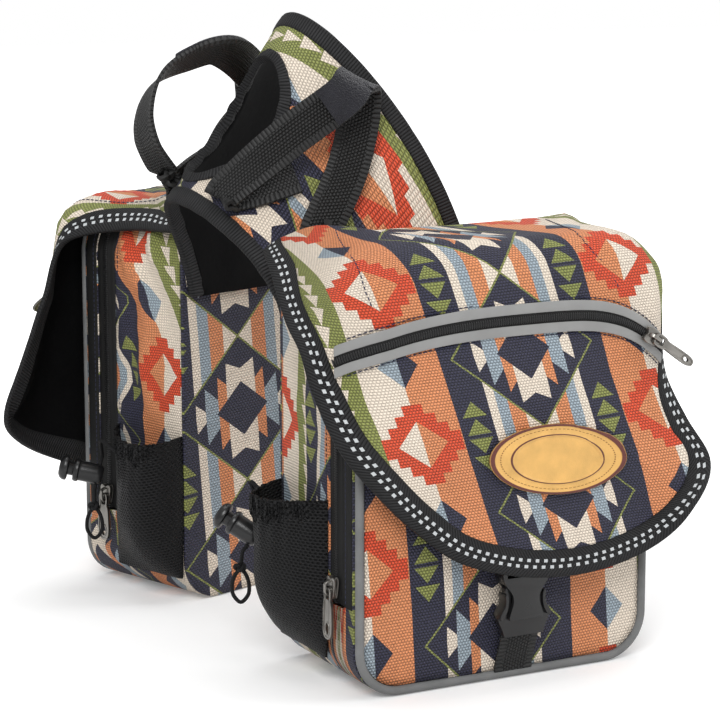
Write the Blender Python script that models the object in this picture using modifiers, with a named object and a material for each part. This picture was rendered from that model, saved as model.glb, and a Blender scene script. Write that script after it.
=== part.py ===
"""A pair of saddle pommel bags joined by an arched yoke.

The right bag stands with its back on the plane Y = 0 and its front towards -Y. The left bag is its
mirror image across the gap, turned a little about the vertical. X runs along the bags' width and
Z is up. Every piece is one closed solid, worked out in the right bag's own place and then set on
its side of the gap.
"""
import math

import bmesh
import bpy
from mathutils import Matrix, Vector
from mathutils.bvhtree import BVHTree

MM = 0.001
GAP = 0.3 * MM               # between solids that touch on the real bag

# Bag body
BAG_WIDTH = 195 * MM
BAG_HEIGHT = 248 * MM
BAG_DEPTH = 96 * MM
CORNER_RADIUS = 28 * MM
CLOTH = 2.4 * MM             # padded cloth of the body panels
FRONT_BULGE = 5 * MM
PIPING_RADIUS = 2.6 * MM
LINER_WALL = 1.2 * MM
LINER_MOUTH = 9 * MM         # from the front seam back to the liner's open edge

# The left bag's place across the gap
BAG_SPREAD = 161 * MM        # between the middles of the two backs
BAG_SHIFT = -10 * MM         # of the left bag along X
BAG_TURN = math.radians(19)

# Main zip, round the sides and top of each bag
ZIP_SET_BACK = 23 * MM       # from the front seam to the zip's middle
ZIP_TAPE = 17 * MM
ZIP_COIL = 5 * MM
ZIP_START = 52 * MM          # height of its lower ends
TAPE_THICK = 1.2 * MM
COIL_RISE = 1.2 * MM

# Zip sliders and pulls
SLIDER_LENGTH = 13 * MM
SLIDER_WIDTH = 9.5 * MM
SLIDER_THICK = 3.2 * MM
CROWN_WIDTH = 2.2 * MM
CROWN_WALL = 1.4 * MM
CROWN_REACH = 3.2 * MM       # half the crown's inner length
PULL_BAR = 1.6 * MM          # the bar that the crown holds
CROWN_INNER = 2.7 * MM       # height of the crown's window, so that the bar can turn in it
PULL_LENGTH = 30 * MM
PULL_WIDTH = 10 * MM
PULL_THICK = 1.6 * MM
FLAP_PULL_LENGTH = 32 * MM
FLAP_PULL_WIDTH = 6 * MM

# Flap
FLAP_STANDOFF = 7 * MM       # over the faces of the body
FLAP_SEWN_GAP = 0.5 * MM     # the same at the edge sewn to the back
FLAP_SEWN_RUN = 30 * MM      # the way from that edge to the full standoff
FLAP_LOOPS = 10
FLAP_SAMPLES = 60            # tries along each column, to place its rows
FLAP_BEND_WEIGHT = 60 * MM   # length that counts for each radian of bend
FLAP_CORE = 7 * MM          # how far inside the faces its fold is centred
FLAP_THICK = 2.4 * MM
BINDING_WIDTH = 18 * MM
BINDING_THICK = 2.8 * MM
BINDING_SEAM = 2.3 * MM      # between the binding's two edges and what it binds
RIGHT_FLARE = 38 * MM        # how far each flap's loose corner reaches past the side
LEFT_FLARE = 62 * MM
# The loose corner of each flap from the hem up: share of the flare, mm ahead of the front seam
# and mm over the hem
RIGHT_LOOSE = ((0, 15, 12), (0.75, 11, 36), (1, 4, 58), (0.62, -3, 80), (0.33, -12, 102),
               (0.2, -18, 127), (0.19, -24, 150))
LEFT_LOOSE = ((0, 15, 12), (0.75, 11, 36), (1, 4, 58), (0.775, 0, 96), (0.55, -4, 132),
              (0.34, -8, 164))
HEM_HEIGHT = 63 * MM
HEM_STANDOFF = 19 * MM

# Flap pocket zip
FLAP_ZIP_CREST = BAG_HEIGHT - 35 * MM
FLAP_ZIP_NEAR_FALL = 10 * MM  # from the crest to the end on the hugging side
FLAP_ZIP_FAR_FALL = 27 * MM  # and to the end on the flaring side
FLAP_ZIP_NEAR_HALF = 122 * MM  # from the middle to the same two ends, before they wrap round
FLAP_ZIP_FAR_HALF = 94 * MM
FLAP_ZIP_TAPE = 21 * MM
FLAP_ZIP_COIL = 5 * MM
FLAP_ZIP_LIFT = 1.5 * MM     # of its under face over the flap
FLAP_ZIP_THICK = 1.0 * MM

# Patch on the near flap
PATCH_WIDTH = 88 * MM
PATCH_HEIGHT = 41 * MM
PATCH_THICK = 1.8 * MM
PATCH_RIM = 0.8 * MM
PATCH_X = 27 * MM
PATCH_Z = 131 * MM
PATCH_TILT = math.radians(-6)
PATCH_LIFT = 0.5 * MM        # of its under face over the flap

# Mesh pockets
POCKET_HEIGHT = 110 * MM
POCKET_FOOT = 17 * MM
POCKET_REAR = 3 * MM         # from the back of the bag
POCKET_BULGE = 26 * MM
POCKET_THICK = 1.4 * MM
HEM_BAND = 13 * MM
GATHERS = 6
GATHER_DEPTH = 1.1 * MM

# Cord locks
CORD_RADIUS = 1.2 * MM
LOCK_RADIUS = 6.6 * MM
LOCK_LENGTH = 19 * MM
LOCK_LIP = 1.0 * MM
BUTTON_RADIUS = 6.2 * MM
BUTTON_CAP = 6 * MM
STEM_RADIUS = 4.4 * MM
STEM_LENGTH = 9 * MM
BUTTON_TRAVEL = 3.5 * MM
CORD_HOLE = 2.0 * MM         # radius of the hole that the cord runs through

# Side-release buckle
WEBBING = 25 * MM
WEBBING_THICK = 1.6 * MM
SOCKET_WIDTH = 34 * MM
SOCKET_HEIGHT = 31 * MM
SOCKET_THICK = 10 * MM
SOCKET_WALL = 2.2 * MM
SOCKET_FOOT = 43 * MM        # height of its lower edge
PLUG_FRAME = 20 * MM         # height of the plug's lower frame
PLUG_THICK = 4.6 * MM
PLUG_REACH = 21 * MM         # how far the prongs reach into the socket
BUCKLE_X = 5 * MM

# Yoke
YOKE_FOOT = 200 * MM         # height where it is sewn to the backs
YOKE_NEAR_FOOT_X = 3.5 * MM - BAG_WIDTH / 2
YOKE_FAR_FOOT_X = 38 * MM
YOKE_NEAR_CREST_X = YOKE_NEAR_FOOT_X - 30 * MM
YOKE_FAR_CREST_X = -43 * MM
YOKE_NEAR_RISE = 65 * MM
YOKE_FAR_RISE = 177 * MM
YOKE_NEAR_SKEW = 22 * MM     # of the near crest towards the left bag
YOKE_LEAN_POWER = 1.6
YOKE_THICK = 2.2 * MM
LINING_THICK = 1.4 * MM
YOKE_BINDING = 11 * MM
YOKE_BINDING_THICK = 5 * MM
HORN_START = 0.15            # along the crest, as shares of the yoke's width
HORN_END = 0.76
HORN_HALF_ANGLE = math.radians(24)
HORN_BINDING = 6 * MM
YOKE_SEAM = 0.7 * MM         # between the bindings and the panel they bind
YOKE_STEPS = 48              # round the horn hole, a multiple of 8

# Handles
HANDLE_WIDTH = 25 * MM
HANDLE_THICK = 1.8 * MM
LEFT_HANDLE_RISE = 2.6 * MM  # more of it where the yoke bends hardest
HANDLE_LIFT = 1.6 * MM       # of its sewn ends over the yoke
HOOK_PATCH_WIDTH = 24 * MM
HOOK_PATCH_THICK = 1.6 * MM
HOOK_PATCH_GAP = 0.5 * MM    # between it and the webbing

SHARP_ANGLE = 35             # degrees between faces that meet in a hard edge
COLLECTION = "pommel_bag"
CUTTERS = "cutters"

BODY_FRONT = -BAG_DEPTH
HALF_WIDTH = BAG_WIDTH / 2
PIPING_INSET = PIPING_RADIUS
PANEL_INSET = 2 * PIPING_RADIUS + GAP
GUSSET_FRONT = BODY_FRONT + PIPING_RADIUS + GAP
ZIP_Y = BODY_FRONT + ZIP_SET_BACK
SLOT_HALF = ZIP_TAPE / 2 + GAP
BAG_CENTRE = Vector((0, BODY_FRONT / 2, BAG_HEIGHT / 2))


def clear_scene():
    for item in list(bpy.data.objects):
        bpy.data.objects.remove(item, do_unlink=True)
    for name in (COLLECTION, CUTTERS):
        if name in bpy.data.collections:
            bpy.data.collections.remove(bpy.data.collections[name])
        bpy.context.scene.collection.children.link(bpy.data.collections.new(name))


def make_material(name, colour, roughness, metallic=0.0):
    material = bpy.data.materials.new(name)
    material.use_nodes = True
    shader = material.node_tree.nodes["Principled BSDF"]
    shader.inputs["Base Color"].default_value = (*colour, 1.0)
    shader.inputs["Roughness"].default_value = roughness
    shader.inputs["Metallic"].default_value = metallic
    return material


def make_materials():
    return {
        "print": make_material("printed_cloth", (0.36, 0.22, 0.16), 0.85),
        "lining": make_material("black_lining", (0.012, 0.012, 0.014), 0.8),
        "tape": make_material("black_tape", (0.015, 0.015, 0.016), 0.75),
        "jacquard": make_material("jacquard_binding", (0.05, 0.05, 0.052), 0.7),
        "piping": make_material("grey_piping", (0.14, 0.15, 0.15), 0.5),
        "zip": make_material("black_zip", (0.01, 0.01, 0.01), 0.6),
        "reflective": make_material("reflective_tape", (0.21, 0.21, 0.21), 0.45),
        "metal": make_material("pewter_metal", (0.17, 0.165, 0.15), 0.35, 0.9),
        "mesh": make_material("black_mesh", (0.01, 0.01, 0.011), 0.7),
        "plastic": make_material("black_plastic", (0.012, 0.012, 0.013), 0.4),
        "patch": make_material("tan_patch", (0.6, 0.33, 0.1), 0.5),
    }


class Side:
    """One bag's place: the right bag as drawn, the left one mirrored and turned."""

    def __init__(self, name, mirrored):
        self.name = name
        self.mirrored = mirrored
        turn = Matrix.Rotation(BAG_TURN, 4, "Z") if mirrored else Matrix.Identity(4)
        shift = Vector((BAG_SHIFT, BAG_SPREAD, 0)) if mirrored else Vector((0, 0, 0))
        self.matrix = Matrix.Translation(shift) @ turn

    def place(self, point):
        x, y, z = point
        return self.matrix @ Vector((x, -y if self.mirrored else y, z))

    def direction(self, vector):
        return (self.place(vector) - self.place((0, 0, 0))).normalized()

    def node(self, part):
        return f"{self.name}_{part}"


RIGHT = Side("right", False)
LEFT = Side("left", True)
WORLD = Side("world", False)


def link(item, collection=COLLECTION):
    bpy.data.collections[collection].objects.link(item)
    return item


def sheet_object(name, points, faces, material, side, inside):
    """An open sheet from points in the side's own place, facing away from the inside point."""
    mesh = bpy.data.meshes.new(name)
    mesh.from_pydata([side.place(point) for point in points], [], faces)
    centre = side.place(inside)
    if sum(face.normal.dot(face.center - centre) * face.area for face in mesh.polygons) < 0:
        mesh.flip_normals()
    mesh.materials.append(material)
    mesh.shade_smooth()
    mesh.set_sharp_from_angle(angle=math.radians(SHARP_ANGLE))
    return link(bpy.data.objects.new(name, mesh))


def solidify(item, thickness, outward=False):
    """Give an open surface its thickness, to the inside unless outward is set."""
    modifier = item.modifiers.new("thickness", "SOLIDIFY")
    modifier.thickness = thickness
    modifier.offset = 1.0 if outward else -1.0
    modifier.use_even_offset = False
    return item


def grid_faces(rows, columns, ring=False, skip=None):
    """Faces of a grid of points, whose rows may close into rings."""
    faces = []
    last = columns if ring else columns - 1
    for row in range(rows - 1):
        for column in range(last):
            if skip and skip(row, column):
                continue
            after = (column + 1) % columns
            a, b = row * columns + column, row * columns + after
            faces.append((a, b, b + columns, a + columns))
    return faces


def grid_object(name, rows, material, side, inside, ring=False, skip=None):
    """An open sheet over rows of points."""
    points = [point for row in rows for point in row]
    faces = grid_faces(len(rows), len(rows[0]), ring, skip)
    return sheet_object(name, points, faces, material, side, inside)


def disc_object(name, loops, centre, material, side, inside):
    """An open sheet over closed loops of points, closed by a fan round its centre."""
    count = len(loops[0])
    points = [point for loop in loops for point in loop] + [centre]
    faces = grid_faces(len(loops), count, ring=True)
    base = (len(loops) - 1) * count
    faces += [(base + i, base + (i + 1) % count, len(points) - 1) for i in range(count)]
    return sheet_object(name, points, faces, material, side, inside)


def tube_object(name, path, radius, material, side=WORLD, closed=False, radii=None, sides=2):
    """A round cord or bead along a path of points."""
    curve = bpy.data.curves.new(name, "CURVE")
    curve.dimensions = "3D"
    curve.bevel_depth = radius
    curve.bevel_resolution = sides
    curve.use_fill_caps = not closed
    spline = curve.splines.new("POLY")
    spline.points.add(len(path) - 1)
    for index, point in enumerate(path):
        spline.points[index].co = (*side.place(point), 1.0)
        spline.points[index].radius = radii[index] if radii else 1.0
    spline.use_cyclic_u = closed
    curve.materials.append(material)
    return link(bpy.data.objects.new(name, curve))


def bevel(item, width, segments=2, angle=40):
    modifier = item.modifiers.new("edges", "BEVEL")
    modifier.width = width
    modifier.segments = segments
    modifier.limit_method = "ANGLE"
    modifier.angle_limit = math.radians(angle)
    return item


def box_mesh(name, size, centre=(0, 0, 0)):
    mesh = bpy.data.meshes.new(name)
    shape = bmesh.new()
    bmesh.ops.create_cube(shape, size=1.0)
    bmesh.ops.scale(shape, vec=size, verts=shape.verts)
    bmesh.ops.translate(shape, vec=centre, verts=shape.verts)
    shape.to_mesh(mesh)
    shape.free()
    return mesh


def cylinder_mesh(name, radius, depth, segments, matrix):
    mesh = bpy.data.meshes.new(name)
    shape = bmesh.new()
    bmesh.ops.create_cone(shape, cap_ends=True, segments=segments, radius1=radius,
                          radius2=radius, depth=depth, matrix=matrix)
    shape.to_mesh(mesh)
    shape.free()
    return mesh


def boolean(item, mesh, operation, matrix):
    """Cut a mesh out of an object, or join it on, in the object's own frame."""
    cutter = link(bpy.data.objects.new(mesh.name, mesh), CUTTERS)
    cutter.matrix_world = matrix
    cutter.hide_render = True
    cutter.display_type = "WIRE"
    modifier = item.modifiers.new(operation.lower(), "BOOLEAN")
    modifier.operation = operation
    modifier.object = cutter
    modifier.solver = "EXACT"
    return item


def frame_at(origin, x_axis, z_axis):
    """A placement with its Z along z_axis and its X as near x_axis as can be."""
    z_axis = Vector(z_axis).normalized()
    y_axis = z_axis.cross(Vector(x_axis)).normalized()
    x_axis = y_axis.cross(z_axis)
    rotation = Matrix((x_axis, y_axis, z_axis)).transposed().to_4x4()
    return Matrix.Translation(origin) @ rotation


def smooth_path(keys, steps):
    """Points on a Catmull-Rom curve through the keys."""
    keys = [Vector(key) for key in keys]
    ends = [2 * keys[0] - keys[1]] + keys + [2 * keys[-1] - keys[-2]]
    path = []
    for index in range(1, len(ends) - 2):
        a, b, c, d = ends[index - 1:index + 3]
        for step in range(steps):
            t = step / steps
            path.append(0.5 * (2 * b + (c - a) * t + (2 * a - 5 * b + 4 * c - d) * t * t
                               + (3 * b - a - 3 * c + d) * t ** 3))
    path.append(keys[-1])
    return path


# Bag outline


def outline_stations(zip_foot=ZIP_START - GAP):
    """Points and outward normals (x, z) round the bag's front view, from the middle of its foot."""
    flat = HALF_WIDTH - CORNER_RADIUS
    low, high = CORNER_RADIUS, BAG_HEIGHT - CORNER_RADIUS
    right = [((0, 0), (0, -1)), ((flat / 2, 0), (0, -1))]
    right += arc(flat, low, -90, 0)
    right += [((HALF_WIDTH, z), (1, 0)) for z in (zip_foot, (low + high) / 2)]
    right += arc(flat, high, 0, 90)
    right += [((flat / 2, BAG_HEIGHT), (0, 1))]
    left = [((-x, z), (-nx, nz)) for (x, z), (nx, nz) in reversed(right[1:])]
    return right + [((0, BAG_HEIGHT), (0, 1))] + left


def arc(x, z, start, end, steps=4):
    points = []
    for step in range(steps + 1):
        angle = math.radians(start + (end - start) * step / steps)
        normal = (math.cos(angle), math.sin(angle))
        points.append(((x + CORNER_RADIUS * normal[0], z + CORNER_RADIUS * normal[1]), normal))
    return points


def loop_at(y, inset, scale=1.0, bulge=0.0):
    """The bag's outline at one depth, drawn in by an inset and scaled about its middle."""
    middle = BAG_HEIGHT / 2
    loop = []
    for (x, z), (nx, nz) in outline_stations():
        x, z = x - nx * inset, z - nz * inset
        loop.append((x * scale, y - bulge, middle + (z - middle) * scale))
    return loop


def front_bulge(x, z):
    """How far the front panel swells out of its plane."""
    middle = BAG_HEIGHT / 2
    across = 1 - min(1, (x / HALF_WIDTH) ** 2)
    up = 1 - min(1, ((z - middle) / middle) ** 2)
    return FRONT_BULGE * across * up


def swollen(loop):
    return [(x, y - front_bulge(x, z), z) for x, y, z in loop]


# Flap surface


DRAPE_FROM = Vector((0, -0.2 * BAG_DEPTH, 0.2 * BAG_HEIGHT))
FLAP_ROOT = Vector((0, -GAP, BAG_HEIGHT + FLAP_SEWN_GAP))
FLAP_SEWN_SHARES = (0.72, 0.38, 0, -0.38, -0.72)
FLAP_MIDDLE = Vector((0.05 * HALF_WIDTH, BODY_FRONT - FLAP_STANDOFF, 0.72 * BAG_HEIGHT))


def flap_standoff(y):
    share = min(1, max(0, -y) / FLAP_SEWN_RUN)
    return FLAP_SEWN_GAP + (FLAP_STANDOFF - FLAP_SEWN_GAP) * share * share * (3 - 2 * share)


def drape_distance(point):
    """How far a point lies outside the surface that the flap's inner face follows."""
    x, y, z = point
    flat_x, flat_z = HALF_WIDTH - CORNER_RADIUS, BAG_HEIGHT / 2 - CORNER_RADIUS
    dx, dz = abs(x) - flat_x, abs(z - BAG_HEIGHT / 2) - flat_z
    round_out = math.hypot(max(dx, 0), max(dz, 0)) + min(max(dx, dz), 0) - CORNER_RADIUS
    a = round_out + FLAP_CORE
    b = -y + BODY_FRONT + FLAP_CORE - front_bulge(x, z)
    return math.hypot(max(a, 0), max(b, 0)) + min(max(a, b), 0) - FLAP_CORE - flap_standoff(y)


def draped(guide):
    """The point of the drape surface on the ray through a guide point."""
    ray = (Vector(guide) - DRAPE_FROM).normalized()
    near, far = 0.0, 2 * (BAG_WIDTH + BAG_HEIGHT)
    for _ in range(34):
        middle = (near + far) / 2
        if drape_distance(DRAPE_FROM + ray * middle) < 0:
            near = middle
        else:
            far = middle
    return DRAPE_FROM + ray * near


def flap_edge_keys(side):
    """The flap's free edge from the back corner that hugs the side round to the one that flares."""
    front, top, hem = BODY_FRONT, BAG_HEIGHT, HEM_HEIGHT
    hug = -HALF_WIDTH - FLAP_STANDOFF
    out = front - HEM_STANDOFF
    keys = [
        (hug, -1 * MM, top - 4 * MM),
        (hug - 3 * MM, 0.25 * front, top - 30 * MM),
        (hug - 2 * MM, 0.68 * front, top - 82 * MM),
        (hug - 0.5 * MM, 0.93 * front, hem + 88 * MM),
        (hug + 9 * MM, front - 8 * MM, hem + 72 * MM),
        (hug + 34 * MM, front - 13 * MM, hem + 40 * MM),
        (-0.4 * HALF_WIDTH, out, hem + 14 * MM),
        (0.06 * HALF_WIDTH, out, hem + 1 * MM),
        (0.55 * HALF_WIDTH, out, hem),
    ]
    flare, loose = (LEFT_FLARE, LEFT_LOOSE) if side.mirrored else (RIGHT_FLARE, RIGHT_LOOSE)
    keys += [(HALF_WIDTH + flare * share, front - ahead * MM, hem + up * MM)
             for share, ahead, up in loose]
    keys += [(HALF_WIDTH + 3 * MM, 0.55 * front, top - 11 * MM),
             (HALF_WIDTH + 2 * MM, -1 * MM, top - 8 * MM)]
    if side.mirrored:
        keys = [(-x, y, z) for x, y, z in keys]
    return keys


class Flap:
    """The flap's inner face, in columns that run from its edge to a middle on its front."""

    def __init__(self, side):
        free = smooth_path(flap_edge_keys(side), 2)
        self.free = len(free)
        sewn = [Vector((share * HALF_WIDTH, FLAP_ROOT.y, FLAP_ROOT.z)) for share in FLAP_SEWN_SHARES]
        if side.mirrored:
            free.reverse()
        self.edge = free + sewn
        self.lift = [point - draped(point) for point in self.edge]
        self.inward = []
        for column, point in enumerate(self.edge):
            before = self.edge[max(column - 1, 0)]
            after = self.edge[min(column + 1, self.free - 1)]
            along = (after - before).normalized()
            inward = draped(point.lerp(FLAP_MIDDLE, 0.05)) - draped(point)
            inward -= along * inward.dot(along)
            self.inward.append(inward.normalized())

    def near_edge(self, column, distance):
        """A point at a distance in from the edge."""
        fade = 1 - distance / (self.edge[column] - FLAP_MIDDLE).length
        return (draped(self.edge[column] + self.inward[column] * distance)
                + self.lift[column] * fade ** 2)

    def band(self, distance):
        return [self.near_edge(column, distance) for column in range(self.free)]

    def point(self, column, share):
        """A point on the way from the binding's seam, at share 0, to the middle."""
        margin = BINDING_WIDTH + BINDING_SEAM if column < self.free else 0
        guide = (self.edge[column] + self.inward[column] * margin).lerp(FLAP_MIDDLE, share)
        fade = (1 - share) * (1 - margin / (self.edge[column] - FLAP_MIDDLE).length)
        return draped(guide) + self.lift[column] * fade ** 2

    def panel_loops(self):
        """Loops from the seam to near the middle, closest together where the cloth bends."""
        columns = []
        for column in range(len(self.edge)):
            shares = [step / FLAP_SAMPLES for step in range(FLAP_SAMPLES)]
            points = [self.point(column, share) for share in shares]
            run = points[1] - points[0]
            measure = [0.0]
            for before, after in zip(points, points[1:]):
                bend = run.angle(after - before)
                run = after - before
                measure.append(measure[-1] + run.length + FLAP_BEND_WEIGHT * bend)
            picked = []
            for loop in range(FLAP_LOOPS):
                target = measure[-1] * loop / FLAP_LOOPS
                index = max(i for i, value in enumerate(measure[:-1]) if value <= target)
                part = (target - measure[index]) / (measure[index + 1] - measure[index])
                picked.append(self.point(column, shares[index] + part / FLAP_SAMPLES))
            columns.append(picked)
        return [list(loop) for loop in zip(*columns)]


def flap_tree(side):
    """The flap's finished faces as a search tree in world places, to lay the trims on it."""
    panel = bpy.data.objects[side.node("flap")]
    depsgraph = bpy.context.evaluated_depsgraph_get()
    shape = bmesh.new()
    shape.from_object(panel, depsgraph)
    tree = BVHTree.FromBMesh(shape)
    shape.free()
    return tree


def on_flap(side, tree, x, z, lift):
    """A world place over the flap's outer face, straight out from the body at a level."""
    inner = Vector((0.6 * x, 0.4 * BODY_FRONT, z))
    ray = (Vector((x, BODY_FRONT, z)) - inner).normalized()
    start = side.place(inner + ray * BAG_WIDTH)
    place, normal, _, _ = tree.ray_cast(start, -side.direction(ray))
    return place + normal * lift


# Bag panels


def build_body(side, paint):
    front_loops = [swollen(loop_at(BODY_FRONT, PANEL_INSET, scale)) for scale in (1, 0.8, 0.5)]
    centre = (0, BODY_FRONT - front_bulge(0, BAG_HEIGHT / 2), BAG_HEIGHT / 2)
    front = disc_object(side.node("front_panel"), front_loops, centre, paint["print"], side,
                        BAG_CENTRE)
    solidify(front, CLOTH)

    back_loops = [loop_at(0, GAP), loop_at(0, GAP, 0.5)]
    back = disc_object(side.node("back_panel"), back_loops, (0, 0, BAG_HEIGHT / 2),
                       paint["print"], side, BAG_CENTRE)
    solidify(back, CLOTH)

    depths = [-CLOTH - GAP, ZIP_Y + SLOT_HALF, ZIP_Y - SLOT_HALF, GUSSET_FRONT]
    loops = [loop_at(y, 0) for y in depths]
    foot = [index for index, point in enumerate(loops[0]) if abs(point[2] - ZIP_START + GAP) < 1e-6]

    def in_slot(row, column):
        return row == 1 and foot[0] <= column < foot[1]

    gusset = grid_object(side.node("gusset"), loops, paint["print"], side, BAG_CENTRE,
                         ring=True, skip=in_slot)
    solidify(gusset, CLOTH)

    piping = [(x, BODY_FRONT, z) for x, _, z in loop_at(0, PIPING_INSET)]
    tube_object(side.node("piping"), piping, PIPING_RADIUS, paint["piping"], side, closed=True,
                sides=1)

    inner = CLOTH + GAP
    mouth = BODY_FRONT + LINER_MOUTH
    floor = -CLOTH - 2 * GAP
    liner_loops = [loop_at(mouth, inner), loop_at(floor, inner), loop_at(floor, inner, 0.5)]
    liner = disc_object(side.node("liner"), liner_loops, (0, floor, BAG_HEIGHT / 2),
                        paint["lining"], side, BAG_CENTRE)
    solidify(liner, LINER_WALL)


def build_main_zip(side, paint):
    """The zip lies in the gusset's slot, flush with the cloth, with its coil proud of it."""
    half, coil = ZIP_TAPE / 2, ZIP_COIL / 2
    stations = outline_stations(ZIP_START)
    ends = [index for index, ((_, z), (_, nz)) in enumerate(stations)
            if abs(z - ZIP_START) < 1e-6 and abs(nz) < 1e-6]
    stations = stations[ends[0]:ends[1] + 1]
    tape_at, coil_at = 0.5 * MM, 0.5 * MM - COIL_RISE
    profile = [(half, tape_at), (coil, tape_at), (0.7 * coil, coil_at), (-0.7 * coil, coil_at),
               (-coil, tape_at), (-half, tape_at)]
    rows = [[(x - nx * inset, ZIP_Y + y, z - nz * inset) for (x, z), (nx, nz) in stations]
            for y, inset in profile]
    zipper = grid_object(side.node("main_zip"), rows, paint["zip"], side, BAG_CENTRE)
    solidify(zipper, TAPE_THICK)


# Sliders and pulls


def build_slider(name, paint, matrix):
    """A slider with its crown, Z out of the tape and X along it. Its under face is at Z = 0."""
    body = link(bpy.data.objects.new(name, box_mesh(
        name, (SLIDER_LENGTH, SLIDER_WIDTH, SLIDER_THICK), (0, 0, SLIDER_THICK / 2))))
    body.data.materials.append(paint["metal"])
    body.matrix_world = matrix
    bevel(body, 1.0 * MM)
    reach, wall = CROWN_REACH, CROWN_WALL
    inner = CROWN_INNER
    outer = box_mesh(name + "_crown", (2 * (reach + wall), CROWN_WIDTH, inner + wall + 1 * MM),
                     (0, 0, SLIDER_THICK + (inner + wall - 1 * MM) / 2))
    shape = bmesh.new()
    shape.from_mesh(outer)
    bmesh.ops.bevel(shape, geom=[edge for edge in shape.edges if abs(
        edge.verts[0].co.y - edge.verts[1].co.y) > 1e-6 and edge.verts[0].co.z > SLIDER_THICK],
        offset=1.2 * MM, segments=2, profile=0.5, affect="EDGES")
    shape.to_mesh(outer)
    shape.free()
    boolean(body, outer, "UNION", matrix)
    window = box_mesh(name + "_window", (2 * reach, 2 * CROWN_WIDTH, inner),
                      (0, 0, SLIDER_THICK + inner / 2))
    boolean(body, window, "DIFFERENCE", matrix)
    return body


def pull_bar_height():
    """From the slider's under face to the middle of the pull's bar."""
    return SLIDER_THICK + CROWN_INNER / 2


def build_pull(name, paint, matrix, length, width):
    """A pull with its bar at the origin, hanging along -X, its face along Z."""
    eye_width = CROWN_WIDTH + 2 * MM
    eye_length = CROWN_REACH + CROWN_WALL + 1.2 * MM
    half = width / 2
    shoulder = PULL_BAR / 2 + eye_length + 3 * MM
    head = eye_width / 2 + 1.7 * MM
    tip = half * 0.62
    side_points = [(PULL_BAR / 2, head * 0.8), (-1 * MM, head), (-shoulder + 2 * MM, head),
                   (-shoulder - 2 * MM, half), (-length * 0.72, half), (-length + 2 * MM, tip),
                   (-length, tip * 0.55)]
    edge = side_points + [(x, -y) for x, y in reversed(side_points)]
    eye = [(-PULL_BAR / 2, eye_width / 2), (-PULL_BAR / 2 - eye_length, eye_width / 2),
           (-PULL_BAR / 2 - eye_length, -eye_width / 2), (-PULL_BAR / 2, -eye_width / 2)]
    hole_at, hole = -length + 5.5 * MM, half * 0.42
    oval = [(hole_at + 1.6 * hole * math.cos(math.radians(angle)),
             hole * math.sin(math.radians(angle))) for angle in range(0, 360, 45)]
    curve = bpy.data.curves.new(name, "CURVE")
    curve.dimensions = "2D"
    curve.fill_mode = "BOTH"
    curve.extrude = PULL_THICK / 2
    for outline in (edge, eye, oval):
        spline = curve.splines.new("POLY")
        spline.points.add(len(outline) - 1)
        for point, (x, y) in zip(spline.points, outline):
            point.co = (x, y, 0, 1)
        spline.use_cyclic_u = True
    curve.materials.append(paint["metal"])
    pull = link(bpy.data.objects.new(name, curve))
    pull.matrix_world = matrix
    return pull


def build_main_slider(side, paint):
    """The slider rests at the foot of the zip on the side where both bags have theirs."""
    height = ZIP_START + SLIDER_LENGTH / 2 + 3 * MM
    proud = COIL_RISE - 0.5 * MM + GAP
    out = side.direction((-1, 0, 0))
    foot = side.place((-HALF_WIDTH - proud, ZIP_Y, height))
    build_slider(side.node("zip_slider"), paint, frame_at(foot, (0, 0, 1), out))
    bar = foot + out * pull_bar_height()
    build_pull(side.node("zip_pull"), paint, frame_at(bar, (0, 0, 1), out),
               PULL_LENGTH, PULL_WIDTH)


# Flap


def build_flap(side, paint):
    flap = Flap(side)
    panel = disc_object(side.node("flap"), flap.panel_loops(), draped(FLAP_MIDDLE), paint["print"],
                        side, DRAPE_FROM)
    solidify(panel, FLAP_THICK, outward=True)
    bands = [flap.band(distance) for distance in (0, BINDING_WIDTH / 2, BINDING_WIDTH)]
    band = grid_object(side.node("flap_binding"), bands, paint["jacquard"], side, DRAPE_FROM)
    solidify(band, BINDING_THICK, outward=True)


def flap_zip_place(reach):
    """How far across, away from the hugging side, and how high the zip is at a reach of -1 to 1."""
    if reach < 0:
        return FLAP_ZIP_NEAR_HALF * reach, FLAP_ZIP_CREST - FLAP_ZIP_NEAR_FALL * reach ** 2
    return FLAP_ZIP_FAR_HALF * reach, FLAP_ZIP_CREST - FLAP_ZIP_FAR_FALL * reach ** 4


def on_flap_zip(side, tree, reach, up, lift):
    x, z = flap_zip_place(reach)
    return on_flap(side, tree, -x if side.mirrored else x, z + up, lift)


def build_flap_zip(side, paint, tree):
    half, coil = FLAP_ZIP_TAPE / 2, FLAP_ZIP_COIL / 2
    low = FLAP_ZIP_LIFT + FLAP_ZIP_THICK
    high = low + COIL_RISE
    profile = [(half, low), (coil, low), (0.7 * coil, high), (-0.7 * coil, high), (-coil, low),
               (-half, low)]
    steps = 26
    rows = [[on_flap_zip(side, tree, 2 * step / steps - 1, up, lift) for step in range(steps + 1)]
            for up, lift in profile]
    strip = grid_object(side.node("flap_zip"), rows, paint["reflective"], WORLD,
                        side.place(DRAPE_FROM))
    solidify(strip, FLAP_ZIP_THICK)


def build_flap_slider(side, paint, tree):
    """The slider rests on the zip's end towards the flaring corner."""
    lift = FLAP_ZIP_LIFT + FLAP_ZIP_THICK + COIL_RISE + 2 * GAP
    rest = 1 - 0.8 * SLIDER_LENGTH / FLAP_ZIP_FAR_HALF
    back = rest - 0.6 * SLIDER_LENGTH / FLAP_ZIP_FAR_HALF
    here = on_flap_zip(side, tree, rest, 0, lift)
    run = (on_flap_zip(side, tree, back, 0, lift) - here).normalized()
    out = (here - on_flap_zip(side, tree, rest, 0, 0)).normalized()
    build_slider(side.node("flap_slider"), paint, frame_at(here, run, out))
    bar = here + out * pull_bar_height()
    build_pull(side.node("flap_pull"), paint, frame_at(bar, run, out),
               FLAP_PULL_LENGTH, FLAP_PULL_WIDTH)


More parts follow.
